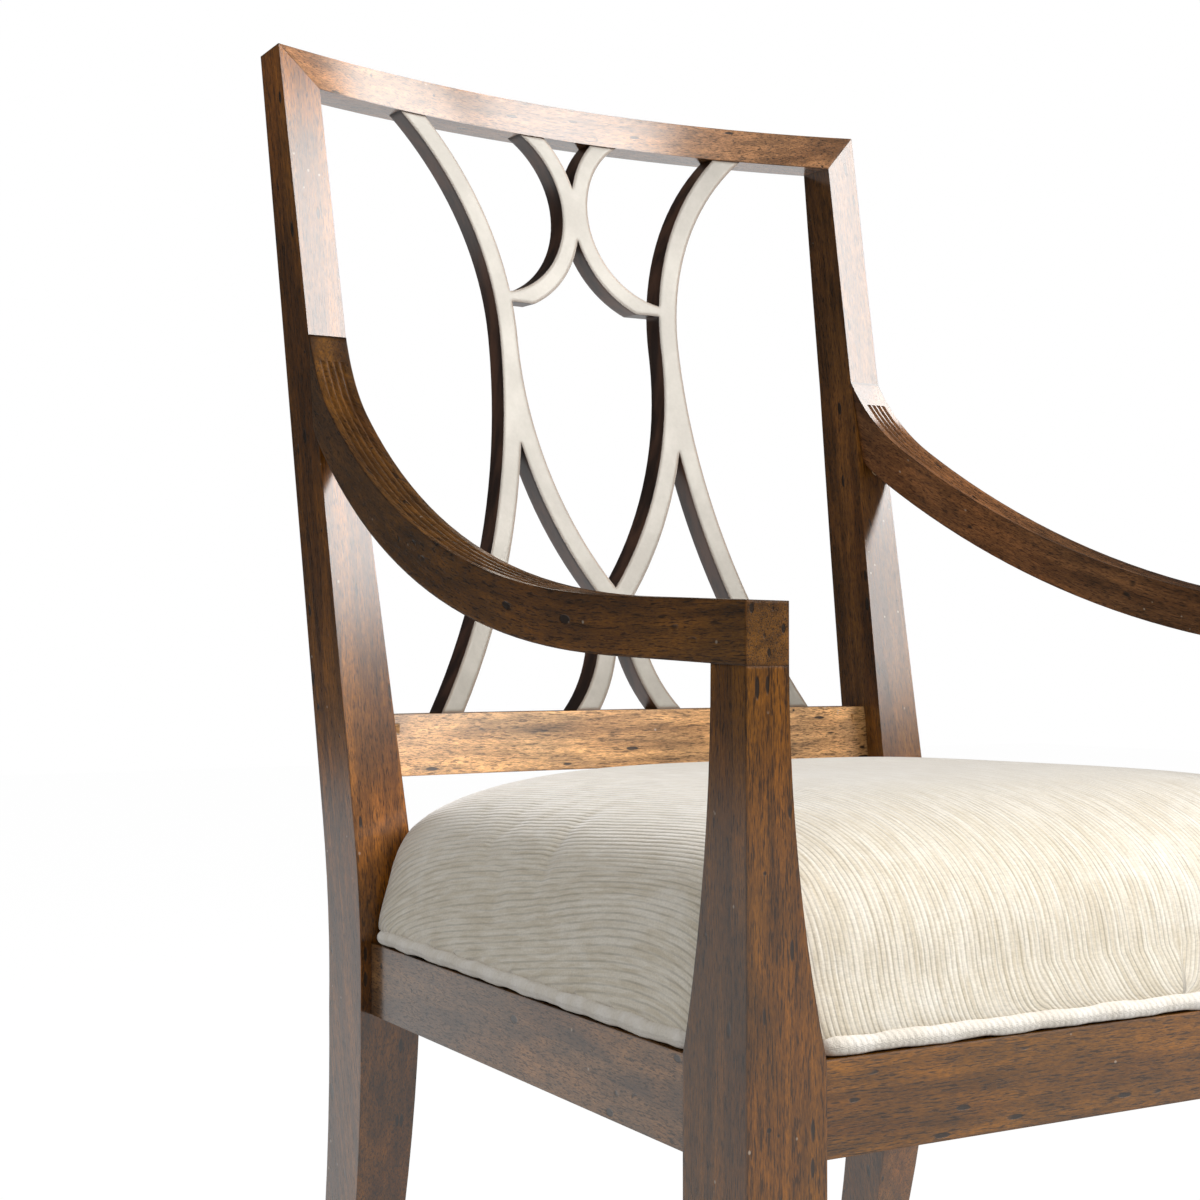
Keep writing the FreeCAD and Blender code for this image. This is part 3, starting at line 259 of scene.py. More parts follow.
def wood(name, way, stain, seed, coat=1.0):
    """Worn, waxed wood: long figure, fine pores, blotches of stain, nicks and worm holes, and rubbed
    edges. stain is its middle colour, seed moves the pattern and coat is the weight of the wax. For the
    right arm the middle colour is set lighter, partly as a painted highlight for the glare along it."""
    kit = Finish(name)
    dark = scaled(stain, 0.45, 0.42, 0.4)
    mid = scaled(stain, 1.15, 1.15, 1.15)
    warm = scaled(stain, 1.9, 1.65, 1.4)
    rubbed = scaled(stain, 2.6, 2.3, 2.0)
    edge_dark_tone = scaled(stain, 0.2, 0.18, 0.16)
    a, b, c = along_grain(kit, way)

    # Layers of noise, drawn out along the grain by a small share of c
    drawn = kit.vector(a + seed, b + seed * 0.7, c * 0.055 + seed)
    figure = kit.noise(drawn, 30.0, 5.0, 0.62, 1.0)
    streaks = kit.noise(drawn, 170.0, 4.0, 0.65, 0.3)
    pores = kit.noise(kit.vector(a + seed, b, c * 0.08), 1150.0, 2.0, 0.7)
    flecks = kit.noise(kit.vector(a + seed, b, c * 0.16), 1500.0, 2.0, 0.7)
    mottle = kit.noise(kit.vector(a + seed, b, c * 0.35), 75.0, 4.0, 0.65, 0.5)
    blotch = kit.noise(kit.vector(a + seed, b, c * 0.55 + seed), 9.0, 3.0, 0.55, 0.4)
    deep = kit.step(pores, 0.52, 0.62)
    tone = kit.mix(kit.step(figure, 0.36, 0.64), dark, mid)
    tone = kit.mix(kit.step(blotch, 0.42, 0.7) * 0.5, tone, warm)
    tone = kit.tint(tone, kit.step(streaks, 0.3, 0.7) * 0.6 + 0.7)
    tone = kit.tint(tone, kit.step(mottle, 0.32, 0.68) * 0.34 + 0.84)
    tone = kit.tint(tone, kit.step(flecks, 0.36, 0.64) * 0.5 + 0.8)
    tone = kit.tint(tone, 1.0 - deep * 0.66)

    # Marks of age: each is a field of cells, kept only where a second noise is high
    nick_cells = kit.cells(kit.vector(a * 1.3, b * 0.7, c * 0.3 + seed), 90.0)
    nicked = kit.noise(kit.vector(a, b, c + seed), 26.0, 1.0)
    nick = kit.step(nick_cells, 0.17, 0.12) * kit.step(nicked, 0.48, 0.51)
    hole_cells = kit.cells(kit.vector(a + seed, b + 0.3, c), 62.0)
    eaten = kit.noise(kit.vector(a + 2.0, b, c), 17.0, 1.0)
    hole = kit.step(hole_cells, 0.095, 0.055) * kit.step(eaten, 0.56, 0.6)
    speck_cells = kit.cells(kit.vector(a, b + 1.3, c * 0.8 + seed), 110.0)
    chipped = kit.noise(kit.vector(a + 5.0, b, c), 21.0, 1.0)
    speck = kit.step(speck_cells, 0.12, 0.06) * kit.step(chipped, 0.58, 0.62)
    tone = kit.mix(nick * 0.95, tone, (0.02, 0.011, 0.006))
    tone = kit.mix(hole * 0.9, tone, (0.012, 0.007, 0.004))
    tone = kit.mix(speck * 0.55, tone, (0.5, 0.42, 0.33))

    # Edges: rubbed pale in places, and darker in others
    edge, rounded = kit.worn_edges(0.0024)
    rub = edge * kit.step(kit.noise(kit.vector(a, b, c), 55.0, 3.0), 0.35, 0.7)
    tone = kit.mix(rub * 0.7, tone, rubbed)
    patches = kit.noise(kit.vector(a, b, c * 0.4), 38.0, 3.0)
    edge_darkening = kit.step(edge, 0.3, 0.8) * kit.step(patches, 0.4, 0.54)
    tone = kit.mix(edge_darkening * 0.8, tone, edge_dark_tone)

    height = streaks * 0.25 - deep * 0.4 - nick * 2.4 - hole * 2.4 + blotch * 1.4
    return kit.surface(
        Base_Color=tone,
        Roughness=kit.step(blotch, 0.3, 0.7) * 0.1 + 0.37 + deep * 0.12,
        Normal=kit.bump(height, 0.00055, 0.55, rounded),
        Coat_Weight=coat,
        Coat_Roughness=0.17,
        Coat_IOR=1.62,
        Specular_IOR_Level=0.12,
    )


def leafed_wood(name):
    """The splat: pale metal leaf on its faces, browner towards their edges, partly rubbed warm and partly
    painted shade of the edges' rounding, and dark stain on its sawn sides.
    """
    kit = Finish(name)
    x, y, z = kit.axes(kit.place())
    facing = kit.axes(kit.node("ShaderNodeNewGeometry", out="Normal"))[1]
    face = kit.step(facing.maths("ABSOLUTE"), 0.62, 0.8)
    cloud = kit.noise(kit.vector(x, y, z), 22.0, 4.0, 0.6)
    fine = kit.noise(kit.vector(x, y, z), 420.0, 3.0, 0.6)
    edge, rounded = kit.worn_edges(0.0045, 0.9)
    leaf = kit.mix(kit.step(cloud, 0.35, 0.7), (0.19, 0.173, 0.14), (0.245, 0.227, 0.19))
    leaf = kit.tint(leaf, fine * 0.16 + 0.92)
    # Browner towards the edges of the faces, in a broad band: partly rubbed leaf, partly painted shade
    # standing in for the edges' rounding.
    leaf = kit.mix(edge**0.6 * (kit.step(cloud, 0.3, 0.6) * 0.35 + 0.6), leaf, (0.2, 0.12, 0.06))
    drawn = kit.noise(kit.vector(x, y, z * 0.2), 60.0, 4.0)
    stain = kit.mix(kit.step(drawn, 0.35, 0.7), (0.03, 0.012, 0.006), (0.11, 0.045, 0.02))
    return kit.surface(
        Base_Color=kit.mix(face, stain, leaf),
        Metallic=face * 0.2,
        Roughness=0.48 - face * 0.08,
        Normal=kit.bump(fine * 0.3 + cloud, 0.0005, 0.4, rounded),
        Coat_Weight=0.35,
        Coat_Roughness=0.25,
        Coat_IOR=1.6,
    )


def bare_wood(name, light, dark):
    """Sanded wood out of sight: plain growth rings and pores, with the grain along Y."""
    kit = Finish(name)
    a, b, c = along_grain(kit, "Y")
    rings = kit.noise(kit.vector(a, b * 2.0, c * 0.08), 45.0, 4.0, 0.6, 0.8)
    pores = kit.noise(kit.vector(a, b, c * 0.04), 700.0, 2.0)
    tone = kit.mix(kit.step(rings, 0.3, 0.7), dark, light)
    tone = kit.tint(tone, 1.0 - kit.step(pores, 0.55, 0.7) * 0.3)
    return kit.surface(Base_Color=tone, Roughness=0.62, Normal=kit.bump(pores, 0.0002, 0.4))


def rib_wave(line, pitch):
    """A wave from 0 to 1 across the ribs: half of 1 + sin(2 pi line / pitch)."""
    return (line * (2.0 * np.pi / pitch)).maths("SINE") * 0.5 + 0.5


def ribbed_cloth(name):
    """Ribbed pile cloth: narrow grooves that follow the stored rib line, darkened as painted shade, with
    slubs along the ribs, a fine cross weave, and soft pale clouds of painted sheen where the pile is laid
    over by brushing."""
    kit = Finish(name)
    x, y, z = kit.axes(kit.place())
    line = kit.node("ShaderNodeAttribute", {"attribute_name": "rib"}, out="Fac")
    wander = kit.noise(kit.vector(line * 9.0, y * 3.0, z * 1.5), 6.0, 3.0)
    wave = rib_wave(line + (wander - 0.5) * 0.0008, RIB_PITCH)
    slub = kit.noise(kit.vector(line, y * 0.07, z * 0.07), 420.0, 3.0, 0.75)
    broken = kit.step(kit.noise(kit.vector(line * 2.0, y * 0.3, z * 0.3), 95.0, 2.0), 0.35, 0.62)
    cross = kit.noise(kit.vector(line * 0.35, y, z), 900.0, 2.0, 0.7)
    # Pale soft clouds where the pile lies another way: a painted sheen.
    sheen_clouds = kit.noise(kit.vector(x, y, z * 1.6), 11.0, 5.0, 0.68, 0.6)
    # Darker in the grooves between the ribs: painted shade.
    groove_shade = (1.0 - kit.step(wave, 0.0, 0.34)) * (broken * 0.6 + 0.4)
    tone = kit.mix(kit.step(slub, 0.3, 0.72), (0.605, 0.535, 0.41), (0.775, 0.725, 0.625))
    tone = kit.mix(kit.step(sheen_clouds, 0.5, 0.74) * 0.5, tone, (0.86, 0.83, 0.76))
    tone = kit.tint(tone, 1.0 - groove_shade * 0.24)
    tone = kit.tint(tone, cross * 0.5 + 0.75)
    height = wave * 0.4 - groove_shade * 0.4 + slub * 0.5 + cross * 0.6
    return kit.surface(
        Base_Color=tone,
        Roughness=0.72,
        Normal=kit.bump(height, 0.00045, 0.7),
        Sheen_Weight=1.0,
        Sheen_Roughness=0.35,
        Specular_IOR_Level=0.2,
    )


def piping_cloth(name):
    """The welt: pale cloth on the bias, with slanting ribs round the cord."""
    kit = Finish(name)
    place = kit.place()
    line = kit.node("ShaderNodeAttribute", {"attribute_name": "rib"}, out="Fac")
    nap = kit.noise(place, 900.0, 3.0, 0.7)
    soft = kit.noise(place, 60.0, 3.0)
    tone = kit.mix(kit.step(soft, 0.35, 0.65), (0.72, 0.67, 0.585), (0.8, 0.76, 0.695))
    height = rib_wave(line, BIAS_PITCH) * 0.5 + nap + soft * 2.0
    return kit.surface(
        Base_Color=kit.tint(tone, nap * 0.25 + 0.86),
        Roughness=0.85,
        Normal=kit.bump(height, 0.0007, 0.7),
        Sheen_Weight=0.25,
        Sheen_Roughness=0.5,
        Specular_IOR_Level=0.15,
    )


def plain_finish(name, colour, rough, metal=0.0, scale=300.0, spread=0.2):
    """A plain material with a little unevenness: zinc plate, plastic or black cloth."""
    kit = Finish(name)
    grain = kit.noise(kit.place(), scale, 3.0)
    tone = kit.tint(colour, grain * spread + (1.0 - spread / 2))
    normal = kit.bump(grain, 0.0002, 0.4)
    return kit.surface(Base_Color=tone, Roughness=rough, Metallic=metal, Normal=normal)


# surfaces
def mesh_object(name, points, faces, material=None):
    """An object at the origin with its shape in its mesh. points is an array, faces a list."""
    mesh = bpy.data.meshes.new(name)
    mesh.from_pydata(points.tolist(), [], faces)
    if material:
        mesh.materials.append(material)
    mesh.update()
    item = bpy.data.objects.new(name, mesh)
    bpy.context.scene.collection.objects.link(item)
    return item


def grid_faces(rows, columns, ring=False):
    """Quads of a grid that is closed along its columns, and along its rows too for a ring."""
    i, j = np.meshgrid(np.arange(rows if ring else rows - 1), np.arange(columns), indexing="ij")
    n, k = (i + 1) % rows, (j + 1) % columns
    quads = np.stack([i * columns + j, i * columns + k, n * columns + k, n * columns + j], -1)
    return quads.reshape(-1, 4).tolist()


def positions(mesh):
    """A mesh's points as an array."""
    flat = np.empty(len(mesh.vertices) * 3)
    mesh.vertices.foreach_get("co", flat)
    return flat.reshape(-1, 3)


def point_outwards(item):
    """Turns the faces of a closed mesh outwards."""
    shell = bmesh.new()
    shell.from_mesh(item.data)
    bmesh.ops.recalc_face_normals(shell, faces=shell.faces)
    shell.to_mesh(item.data)
    shell.free()


def apply_modifiers(item):
    """Puts what an object's modifiers make into its own mesh."""
    graph = bpy.context.evaluated_depsgraph_get()
    made = bpy.data.meshes.new_from_object(item.evaluated_get(graph))
    item.modifiers.clear()
    item.data = made


def store_ribs(item, line):
    """Stores the line that the cloth's ribs follow, one value a point."""
    store = item.data.attributes.new("rib", "FLOAT", "POINT")
    store.data.foreach_set("value", line.astype(np.float32))


def half_width(y):
    """Half the width over the side rails at y."""
    share = (y - FRONT_POST_BACK) / (REAR_POST_FRONT - FRONT_POST_BACK)
    return RAIL_FRONT_X + (RAIL_REAR_X - RAIL_FRONT_X) * share


# cushion
def seat_ring(angle, inset, square):
    """Points of the seat's outline, drawn in by inset. The unit ring |a|^n + |b|^n = 1, with n = square,
    is stretched so that b runs from the front rail to the rear rail and a between the side rails."""
    across, along = np.cos(angle), np.sin(angle)
    reach = (np.abs(across) ** square + np.abs(along) ** square) ** (-1.0 / square)
    a, b = across * reach, along * reach
    y = (SEAT_FRONT + SEAT_REAR) / 2 + b * ((SEAT_REAR - SEAT_FRONT) / 2 - inset)
    return a * (half_width(y) - inset), y


def closed_cushion(material):
    """The crowned pad, closed below and on top. Each ring is the seat's outline drawn in by d at height z,
    and (1 - d/D)^m + (z/H)^m = 1 gives the round from side to crown, with a slight bulge low on the side.
    The whole skin is moved in by SKIN, which the cloth's swelling takes up, and the lowest rings turn in
    under it as a lip."""
    angle = np.linspace(0.0, 2 * np.pi, 360, endpoint=False)
    turn = np.linspace(0.0, np.pi / 2, 46)
    bulge = SIDE_BULGE * np.sin(np.clip(turn * 3, 0, np.pi))
    inset = SIDE_RUN * (1 - np.cos(turn) ** (2 / SIDE_POWER)) - bulge
    rise = np.sin(turn) ** (2 / SIDE_POWER)
    low = RAIL_TOP + 2 * WELT_RADIUS - 0.0005
    height = low + (CROWN + RAIL_TOP - SKIN - low) * rise
    skin = SKIN * np.clip(turn * 2.5, 0.3, 1.0)
    drawn = np.concatenate([LIP_INSETS, inset + skin])
    lift = np.concatenate([np.full(len(LIP_INSETS), RAIL_TOP + LIP_HEIGHT), height])
    share = np.clip((np.arange(len(drawn)) - 3) / (len(drawn) - 4), 0, 1)
    x, y = seat_ring(angle, drawn[:, None], LIP_SQUARE - SQUARE_LOSS * share[:, None])
    z = np.broadcast_to(lift[:, None], x.shape)
    points = np.stack([x, y, z], -1).reshape(-1, 3)
    bottom = list(range(len(angle)))[::-1]
    top = list(range(len(points) - len(angle), len(points)))
    faces = grid_faces(len(drawn), len(angle)) + [bottom, top]
    item = mesh_object("seat_cushion", points, faces, material)
    point_outwards(item)
    return item


def flare(z, narrow, wide):
    """How wide a front post is at height z: an arc from wide at the rail to narrow under the arm."""
    spread = wide - narrow
    radius = (FLARE_RISE * FLARE_RISE + spread * spread) / (2 * spread)
    below = np.clip(FLARE_TOP - z, 0.0, FLARE_RISE)
    return narrow + radius - np.sqrt(radius * radius - below * below)


def front_post_lines(z):
    """Where a front post's inner face, its back and a line in front of it lie at height z."""
    inner = HALF_WIDTH - flare(z, *FRONT_POST_WIDTHS) - POST_GAP
    back = SEAT_FRONT - FRONT_POST_PROUD + flare(z, *FRONT_POST_DEPTHS) + POST_GAP
    return inner, back, np.full_like(z, SEAT_FRONT - CORE_REACH)


def rear_post_lines(z):
    """The same for a rear post, whose front is upright, then an arc, then straight up the rake."""
    inner = REAR_POST_INNER + np.clip((z - SPREAD_START) / SPREAD_RISE, 0, 1) * REAR_POST_SPREAD - POST_GAP
    above = np.clip(z - BEND_START, 0.0, BEND_RISE)
    arc = REAR_POST_FRONT + BEND_RADIUS - np.sqrt(BEND_RADIUS**2 - above**2)
    face = arc + np.clip(z - BEND_END, 0, 1) * RAKE - POST_GAP
    return inner, face, np.full_like(z, SEAT_REAR + CORE_REACH)


def post_core(lines, side):
    """A block round one post, a gap larger than the post, that the cushion is cut away from. Each ring is
    a rectangle between the post's inner faces and a line outside the chair."""
    z = np.linspace(CORE_BOTTOM, CORE_TOP, 20)
    inner, edge, far = lines(z)
    outer = np.full_like(z, CORE_OUTER)
    xs = np.stack([inner, outer, outer, inner], -1)
    ys = np.stack([edge, edge, far, far], -1)
    zs = np.repeat(z[:, None], 4, 1)
    points = np.stack([xs * side, ys, zs], -1).reshape(-1, 3)
    top = len(points) - 4
    faces = grid_faces(len(z), 4) + [[3, 2, 1, 0], [top, top + 1, top + 2, top + 3]]
    return mesh_object("post_core", points, faces)


def board_core():
    """A block round the seat board, which the cushion sits over."""
    front, back = SEAT_FRONT + BOARD_INSET, SEAT_REAR - BOARD_INSET
    front_x, back_x = half_width(front) - BOARD_INSET, half_width(back) - BOARD_INSET
    corners = [(-front_x, front), (front_x, front), (back_x, back), (-back_x, back)]
    points = [(x, y, z) for z in (CORE_BOTTOM, RAIL_TOP + BOARD_TOP) for x, y in corners]
    return mesh_object("board_core", np.array(points), [[3, 2, 1, 0], [4, 5, 6, 7]] + grid_faces(2, 4))


def cut_and_remesh(item):
    """Cuts the pad round the posts and the board, and gives it an even mesh."""
    cores = [post_core(lines, side) for lines in (front_post_lines, rear_post_lines) for side in (-1, 1)]
    cores.append(board_core())
    for core in cores:
        point_outwards(core)
        cut = item.modifiers.new("cut", "BOOLEAN")
        cut.operation = "DIFFERENCE"
        cut.solver = "EXACT"
        cut.object = core
    remesh = item.modifiers.new("remesh", "REMESH")
    remesh.mode = "VOXEL"
    remesh.voxel_size = VOXEL
    remesh.use_smooth_shade = True
    apply_modifiers(item)
    for core in cores:
        bpy.data.objects.remove(core)


def blown_up(item):
    """Where an object's points come to as weightless cloth under pressure."""
    scene = bpy.context.scene
    cloth = item.modifiers.new("cloth", "CLOTH")
    cloth.settings.use_pressure = True
    cloth.settings.uniform_pressure_force = PRESSURE
    cloth.settings.effector_weights.gravity = 0.0
    cloth.point_cache.frame_start = 1
    cloth.point_cache.frame_end = LAST_FRAME
    for step in range(1, LAST_FRAME + 1):
        scene.frame_set(step)
    graph = bpy.context.evaluated_depsgraph_get()
    after = positions(item.evaluated_get(graph).to_mesh())
    item.modifiers.clear()
    scene.frame_set(1)
    return after


def rib_line(mesh):
    """The distance over the cloth from the middle of the seat, sideways. On the crown it is x. Down a side
    it adds the arc, taken as (h^q + v^q)^(1/q) for a run h and a drop v below the middle of the seat at
    the same y, so the ribs bend down towards the front and the back."""
    power = 1.4
    x, y, z = positions(mesh).T
    slots = np.linspace(SEAT_FRONT - 0.01, SEAT_REAR + 0.01, 90)
    slot = np.clip(np.searchsorted(slots, y), 0, len(slots) - 1)
    ridge = np.full(len(slots), RAIL_TOP)
    middle = np.abs(x) < 0.05
    np.maximum.at(ridge, slot[middle], z[middle])
    ridge = np.convolve(np.pad(ridge, 2, "edge"), np.full(5, 0.2), "valid")
    run = np.clip(SIDE_RUN - (half_width(y) - np.abs(x)), 0.0, None)
    drop = np.clip(np.interp(y, slots, ridge) - z, 0.0, None)
    arc = (run**power + drop**power) ** (1 / power)
    return np.sign(x) * (np.abs(x) + arc - run)


def seat_cushion(material):
    """The crowned seat: cut round the posts and the board, remeshed, blown up a little as cloth, capped
    so that no point moves further than the cap, and smoothed. The cap is 0 at the welt."""
    item = closed_cushion(material)
    cut_and_remesh(item)
    mesh = item.data
    before = positions(mesh)
    move = blown_up(item) - before
    length = np.linalg.norm(move, axis=1, keepdims=True)
    cap = SWELL_CAP * np.clip((before[:, 2:3] - (RAIL_TOP + 0.013)) / 0.02, 0, 1)
    after = before + move * np.minimum(1.0, cap / np.maximum(length, 1e-9))
    mesh.vertices.foreach_set("co", after.ravel())
    smooth = item.modifiers.new("smooth", "SMOOTH")
    smooth.factor = 0.5
    smooth.iterations = 3
    finer = item.modifiers.new("finer", "SUBSURF")
    finer.levels = 1
    finer.render_levels = 1
    apply_modifiers(item)
    item.data.shade_smooth()
    item.data.materials.clear()
    item.data.materials.append(material)
    store_ribs(item, rib_line(item.data))
    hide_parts("seat_cover", "seat_foam")
    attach(item, "root")


# welt
def cut_corners(line, share, longest=None):
    """Cuts off each corner of a closed line, at a share of its sides or at the longest cut."""
    far = np.roll(line, -1, 0)
    reach = np.linalg.norm(far - line, axis=1, keepdims=True)
    off = share if longest is None else np.minimum(share, longest / reach)
    return np.stack([line + (far - line) * off, far - (far - line) * off], 1).reshape(-1, 2)


def welt_path():
    """The line of the piping: the seat's outline, notched round the posts, with its corners rounded by
    cutting them off four times over, then walked at an even pace."""
    gap = WELT_RADIUS + WELT_GAP
    front_y, back_y = SEAT_FRONT + WELT_INSET, SEAT_REAR - WELT_INSET
    post_y, rear_y = FRONT_POST_BACK + gap, REAR_POST_FRONT - gap
    right = [
        (FRONT_POST_INNER - gap, front_y),
        (FRONT_POST_INNER - gap, post_y),
        (half_width(post_y) - WELT_INSET, post_y),
        (half_width(rear_y) - WELT_INSET, rear_y),
        (REAR_POST_INNER - gap, rear_y),
        (REAR_POST_INNER - gap, back_y),
    ]
    line = np.array(right + [(-x, y) for x, y in reversed(right)])
    for longest in (WELT_CORNER, WELT_CORNER, None, None):
        line = cut_corners(line, 0.25, longest)
    closed = np.vstack([line, line[:1]])
    walked = np.concatenate([[0], np.cumsum(np.linalg.norm(np.diff(closed, axis=0), axis=1))])
    pace = np.linspace(0, walked[-1], WELT_STEPS, endpoint=False)
    return np.stack([np.interp(pace, walked, closed[:, k]) for k in (0, 1)], -1), pace, walked[-1]


def seat_welt(material):
    """The piping: a circle of slightly uneven radius carried along its line. A point at angle t is
    centre + outward * r cos t + up * r sin t, and r and the height wander by a sum of sines. The rib line
    slants, because it adds a share of the turn round the cord to the way along it."""
    line, pace, total = welt_path()
    ahead = np.roll(line, -1, 0) - np.roll(line, 1, 0)
    ahead /= np.linalg.norm(ahead, axis=1, keepdims=True)
    out = np.stack([ahead[:, 1], -ahead[:, 0]], -1)
    turn = np.linspace(0, 2 * np.pi, 20, endpoint=False)
    phase = pace * (2 * np.pi / total)
    wander = np.sin(phase * 31) + 0.7 * np.sin(phase * 57 + 1.0) + 0.5 * np.sin(phase * 113 + 2.0)
    radius = WELT_RADIUS * (1 + 0.045 * wander)[:, None]
    lift = RAIL_TOP + WELT_RADIUS + 0.0006 + 0.00035 * np.sin(phase * 43)
    x = line[:, 0:1] + out[:, 0:1] * radius * np.cos(turn)
    y = line[:, 1:2] + out[:, 1:2] * radius * np.cos(turn)
    z = lift[:, None] + radius * np.sin(turn)
    points = np.stack([x, y, z], -1).reshape(-1, 3)
    item = mesh_object("seat_piping", points, grid_faces(len(line), len(turn), ring=True), material)
    point_outwards(item)
    item.data.shade_smooth()
    store_ribs(item, (pace[:, None] + turn / (2 * np.pi) * 2 * BIAS_PITCH).ravel())
    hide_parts("seat_welt")
    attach(item, "root")


# floor, light and surroundings
def seen_directly(kit):
    """1 for a ray from the camera and for one that a glossy or a clear surface passes on, else 0."""
    camera_ray = kit.node("ShaderNodeLightPath", out="Is Camera Ray")
    outputs = camera_ray.socket.node.outputs
    glossy_ray = Field(kit, outputs["Is Glossy Ray"])
    clear_ray = Field(kit, outputs["Is Transmission Ray"])
    return camera_ray.maths("MAXIMUM", glossy_ray).maths("MAXIMUM", clear_ray)


def pale_floor():
    """A floor of pale paint. Rays that see it directly get nearly all of it from a white glow, and the
    rest from the paint, which keeps the shadow."""
    kit = Finish("floor_white")
    paint = kit.node("ShaderNodeBsdfDiffuse", values={"Color": (0.45, 0.45, 0.45, 1.0)})
    glow = kit.node("ShaderNodeEmission", values={"Color": (1.0, 1.0, 1.0, 1.0), "Strength": 1.07})
    kit.end(kit.node("ShaderNodeMixShader", values={0: seen_directly(kit) * 0.9, 1: paint, 2: glow}))
    half, below = 9.0, -0.0005
    corners = [(-half, -half, below), (half, -half, below), (half, half, below), (-half, half, below)]
    return mesh_object("floor", np.array(corners), [[0, 1, 2, 3]], kit.owner)


def dark_walls():
    """A dim dome that only reflections see, so that the wax isn't veiled by the white background. Its
    points are R (cos e cos a, cos e sin a, sin e) for a rise e and a turn a."""
    kit = Finish("dark_wall")
    kit.end(kit.node("ShaderNodeEmission", values={"Color": (1.0, 0.97, 0.94, 1.0), "Strength": 0.05}))
    rows, columns, radius = 12, 48, 8.0
    turns = np.linspace(0, 2 * np.pi, columns, endpoint=False)
    rise, turn = np.meshgrid(np.linspace(0, np.pi / 2 - 0.02, rows), turns, indexing="ij")
    level = np.cos(rise)
    points = radius * np.stack([level * np.cos(turn), level * np.sin(turn), np.sin(rise)], -1)
    walls = mesh_object("dark_walls", points.reshape(-1, 3), grid_faces(rows, columns), kit.owner)
    walls.visible_camera = False
    walls.visible_diffuse = False
    walls.visible_shadow = False
    walls.visible_transmission = False
    walls.visible_volume_scatter = False
    return walls


def white_world():
    """White where it is seen directly, and dimmer as a light."""
    kit = Finish("surroundings", bpy.data.worlds)
    strength = seen_directly(kit) * 0.36 + 0.64
    back = kit.node("ShaderNodeBackground", values={"Color": (1.0, 1.0, 1.0, 1.0), "Strength": strength})
    kit.end(back, "ShaderNodeOutputWorld")
    bpy.context.scene.world = kit.owner


def soft_box(name, azimuth, elevation, distance, width, height, radiance, colour):
    """A lamp seen from the middle of the chair at an azimuth from the front towards the right, and an
    elevation. radiance is how bright it looks in a mirror, whatever its size."""
    lamp = bpy.data.lights.new(name, "AREA")
    lamp.shape = "RECTANGLE"
    lamp.size = width
    lamp.size_y = height
    lamp.energy = radiance * np.pi * width * height
    lamp.color = colour
    item = bpy.data.objects.new(name, lamp)
    a, e = np.radians(azimuth), np.radians(elevation)
    way = np.array([np.sin(a) * np.cos(e), -np.cos(a) * np.cos(e), np.sin(e)])
    item.location = way * distance + np.array([0, 0, LAMP_AIM])
    item.rotation_euler = (np.radians(90 - elevation), 0.0, a)
    item.visible_camera = False
    bpy.context.scene.collection.objects.link(item)


# camera
eye = bpy.data.cameras.new("camera")
eye.lens = 64.39
eye.sensor_width = 36.0
eye.clip_end = 100.0
camera = bpy.data.objects.new("camera", eye)
camera.location = (-0.8939, REAR_POST_FRONT - 1.2830, 0.5853)
camera.rotation_euler = (np.radians(90 + 1.389), 0.0, np.radians(-32.91))
bpy.context.scene.collection.objects.link(camera)
bpy.context.scene.camera = camera
bpy.context.scene.view_settings.view_transform = "Standard"

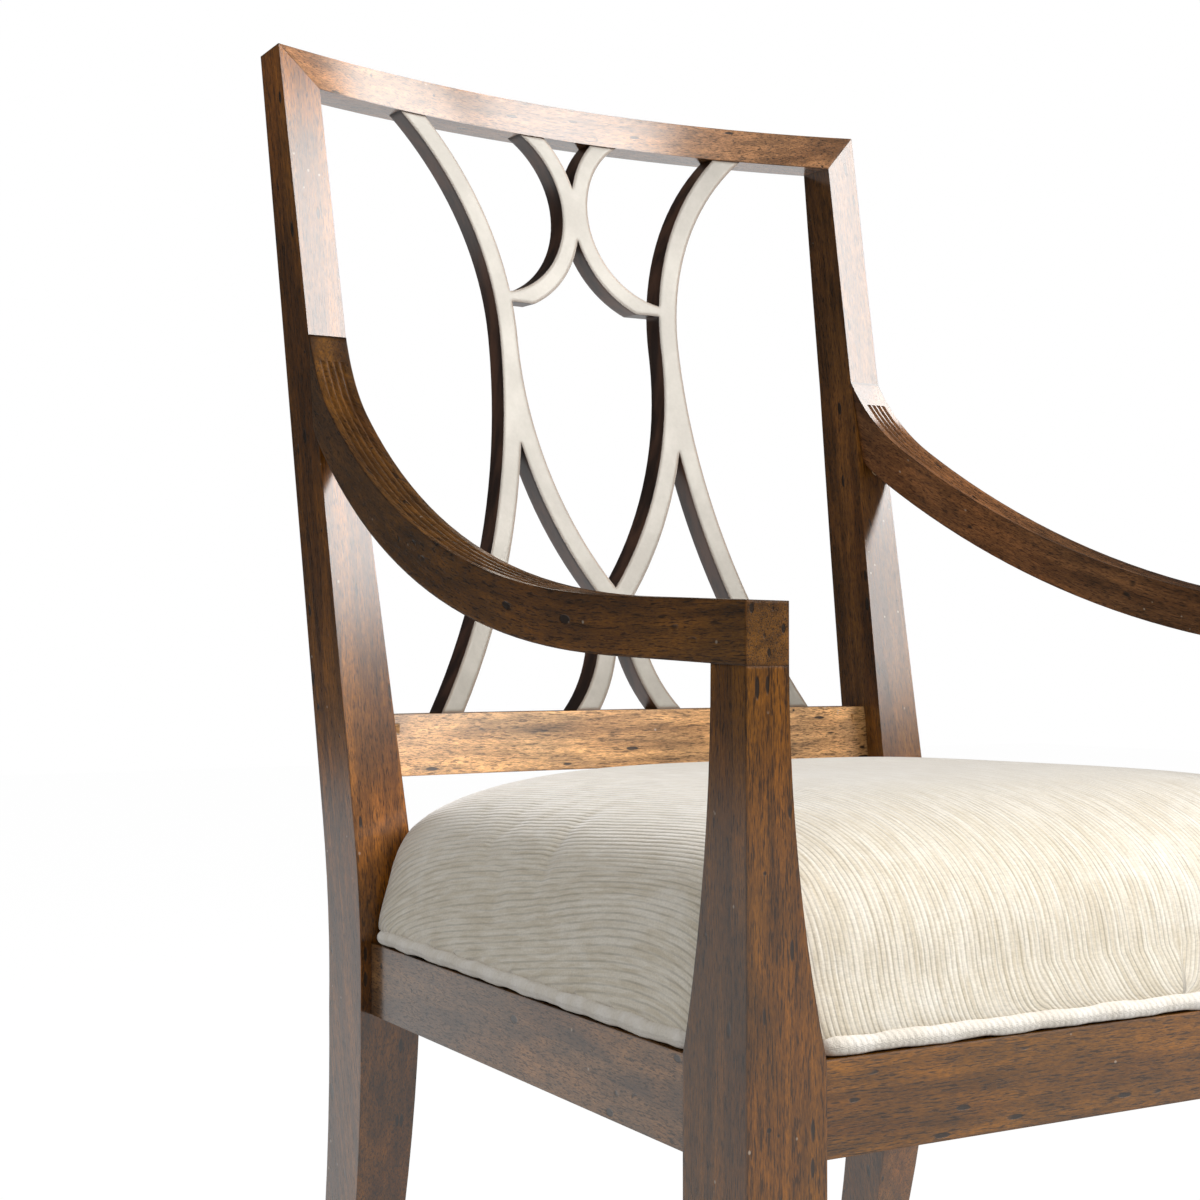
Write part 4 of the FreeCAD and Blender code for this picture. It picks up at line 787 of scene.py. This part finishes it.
# the wooden frame and its fittings
block_wood = bare_wood("block_wood", (0.46, 0.33, 0.2), (0.34, 0.22, 0.12))
finishes = {
    "left_rear_post": wood("post_left", "rake", (0.2, 0.072, 0.006), 0.1),
    "right_rear_post": wood("post_right", "rake", (0.125, 0.05, 0.008), 1.7),
    "crest_rail": wood("crest", "X", (0.28, 0.135, 0.055), 2.9),
    "lower_back_rail": wood("back_rail", "X", (0.46, 0.26, 0.105), 4.3),
    "left_arm": wood("arm_left", "arm", (0.105, 0.042, 0.005), 5.1, coat=0.8),
    # The right arm is lighter than the left: partly its own tone, partly a painted highlight for the glare
    # along it.
    "right_arm": wood("arm_right", "arm", (0.14, 0.062, 0.022), 6.7),
    "left_front_post": wood("front_post_left", "Z", (0.125, 0.047, 0.002), 7.9, coat=0.7),
    "right_front_post": wood("front_post_right", "Z", (0.125, 0.047, 0.002), 8.3, coat=0.7),
    "left_side_rail": wood("rail_left", "Y", (0.175, 0.085, 0.028), 9.1, coat=0.65),
    "right_side_rail": wood("rail_right", "Y", (0.14, 0.07, 0.028), 10.7),
    "front_seat_rail": wood("rail_front", "X", (0.15, 0.058, 0.004), 11.3, coat=0.7),
    "rear_seat_rail": wood("rail_rear", "X", (0.13, 0.06, 0.02), 12.9),
    "back_splat": leafed_wood("splat_leaf"),
    "seat_board": bare_wood("board_wood", (0.5, 0.36, 0.22), (0.36, 0.24, 0.13)),
    "arm_dowels": bare_wood("dowel_wood", (0.55, 0.4, 0.24), (0.42, 0.28, 0.15)),
    "left_front_corner_block": block_wood,
    "right_front_corner_block": block_wood,
    "left_rear_corner_block": block_wood,
    "right_rear_corner_block": block_wood,
    "corner_block_screws": plain_finish("screw_zinc", (0.55, 0.54, 0.5), 0.35, metal=1.0),
    "seat_fixing_screws": plain_finish("board_screw_zinc", (0.55, 0.54, 0.5), 0.35, metal=1.0),
    "dust_cover": plain_finish("dust_cloth_black", (0.03, 0.03, 0.03), 0.9, scale=1200.0, spread=0.6),
    "foot_glides": plain_finish("glide_black", (0.03, 0.027, 0.025), 0.5),
}
for name, material in finishes.items():
    nodes[name].data.materials.clear()
    nodes[name].data.materials.append(material)

# the seat
seat_cushion(ribbed_cloth("seat_cloth"))
seat_welt(piping_cloth("welt_cloth"))

# the studio
white_world()
floor = pale_floor()
walls = dark_walls()
soft_box("key", 37, 30, 3.2, 1.75, 1.2, 12.0, (1.0, 0.98, 0.965))
soft_box("side", 75, 40, 3.2, 1.7, 1.1, 9.5, (1.0, 0.98, 0.96))
soft_box("low", 47, 16, 3.0, 0.55, 0.55, 8.0, (1.0, 0.96, 0.93))
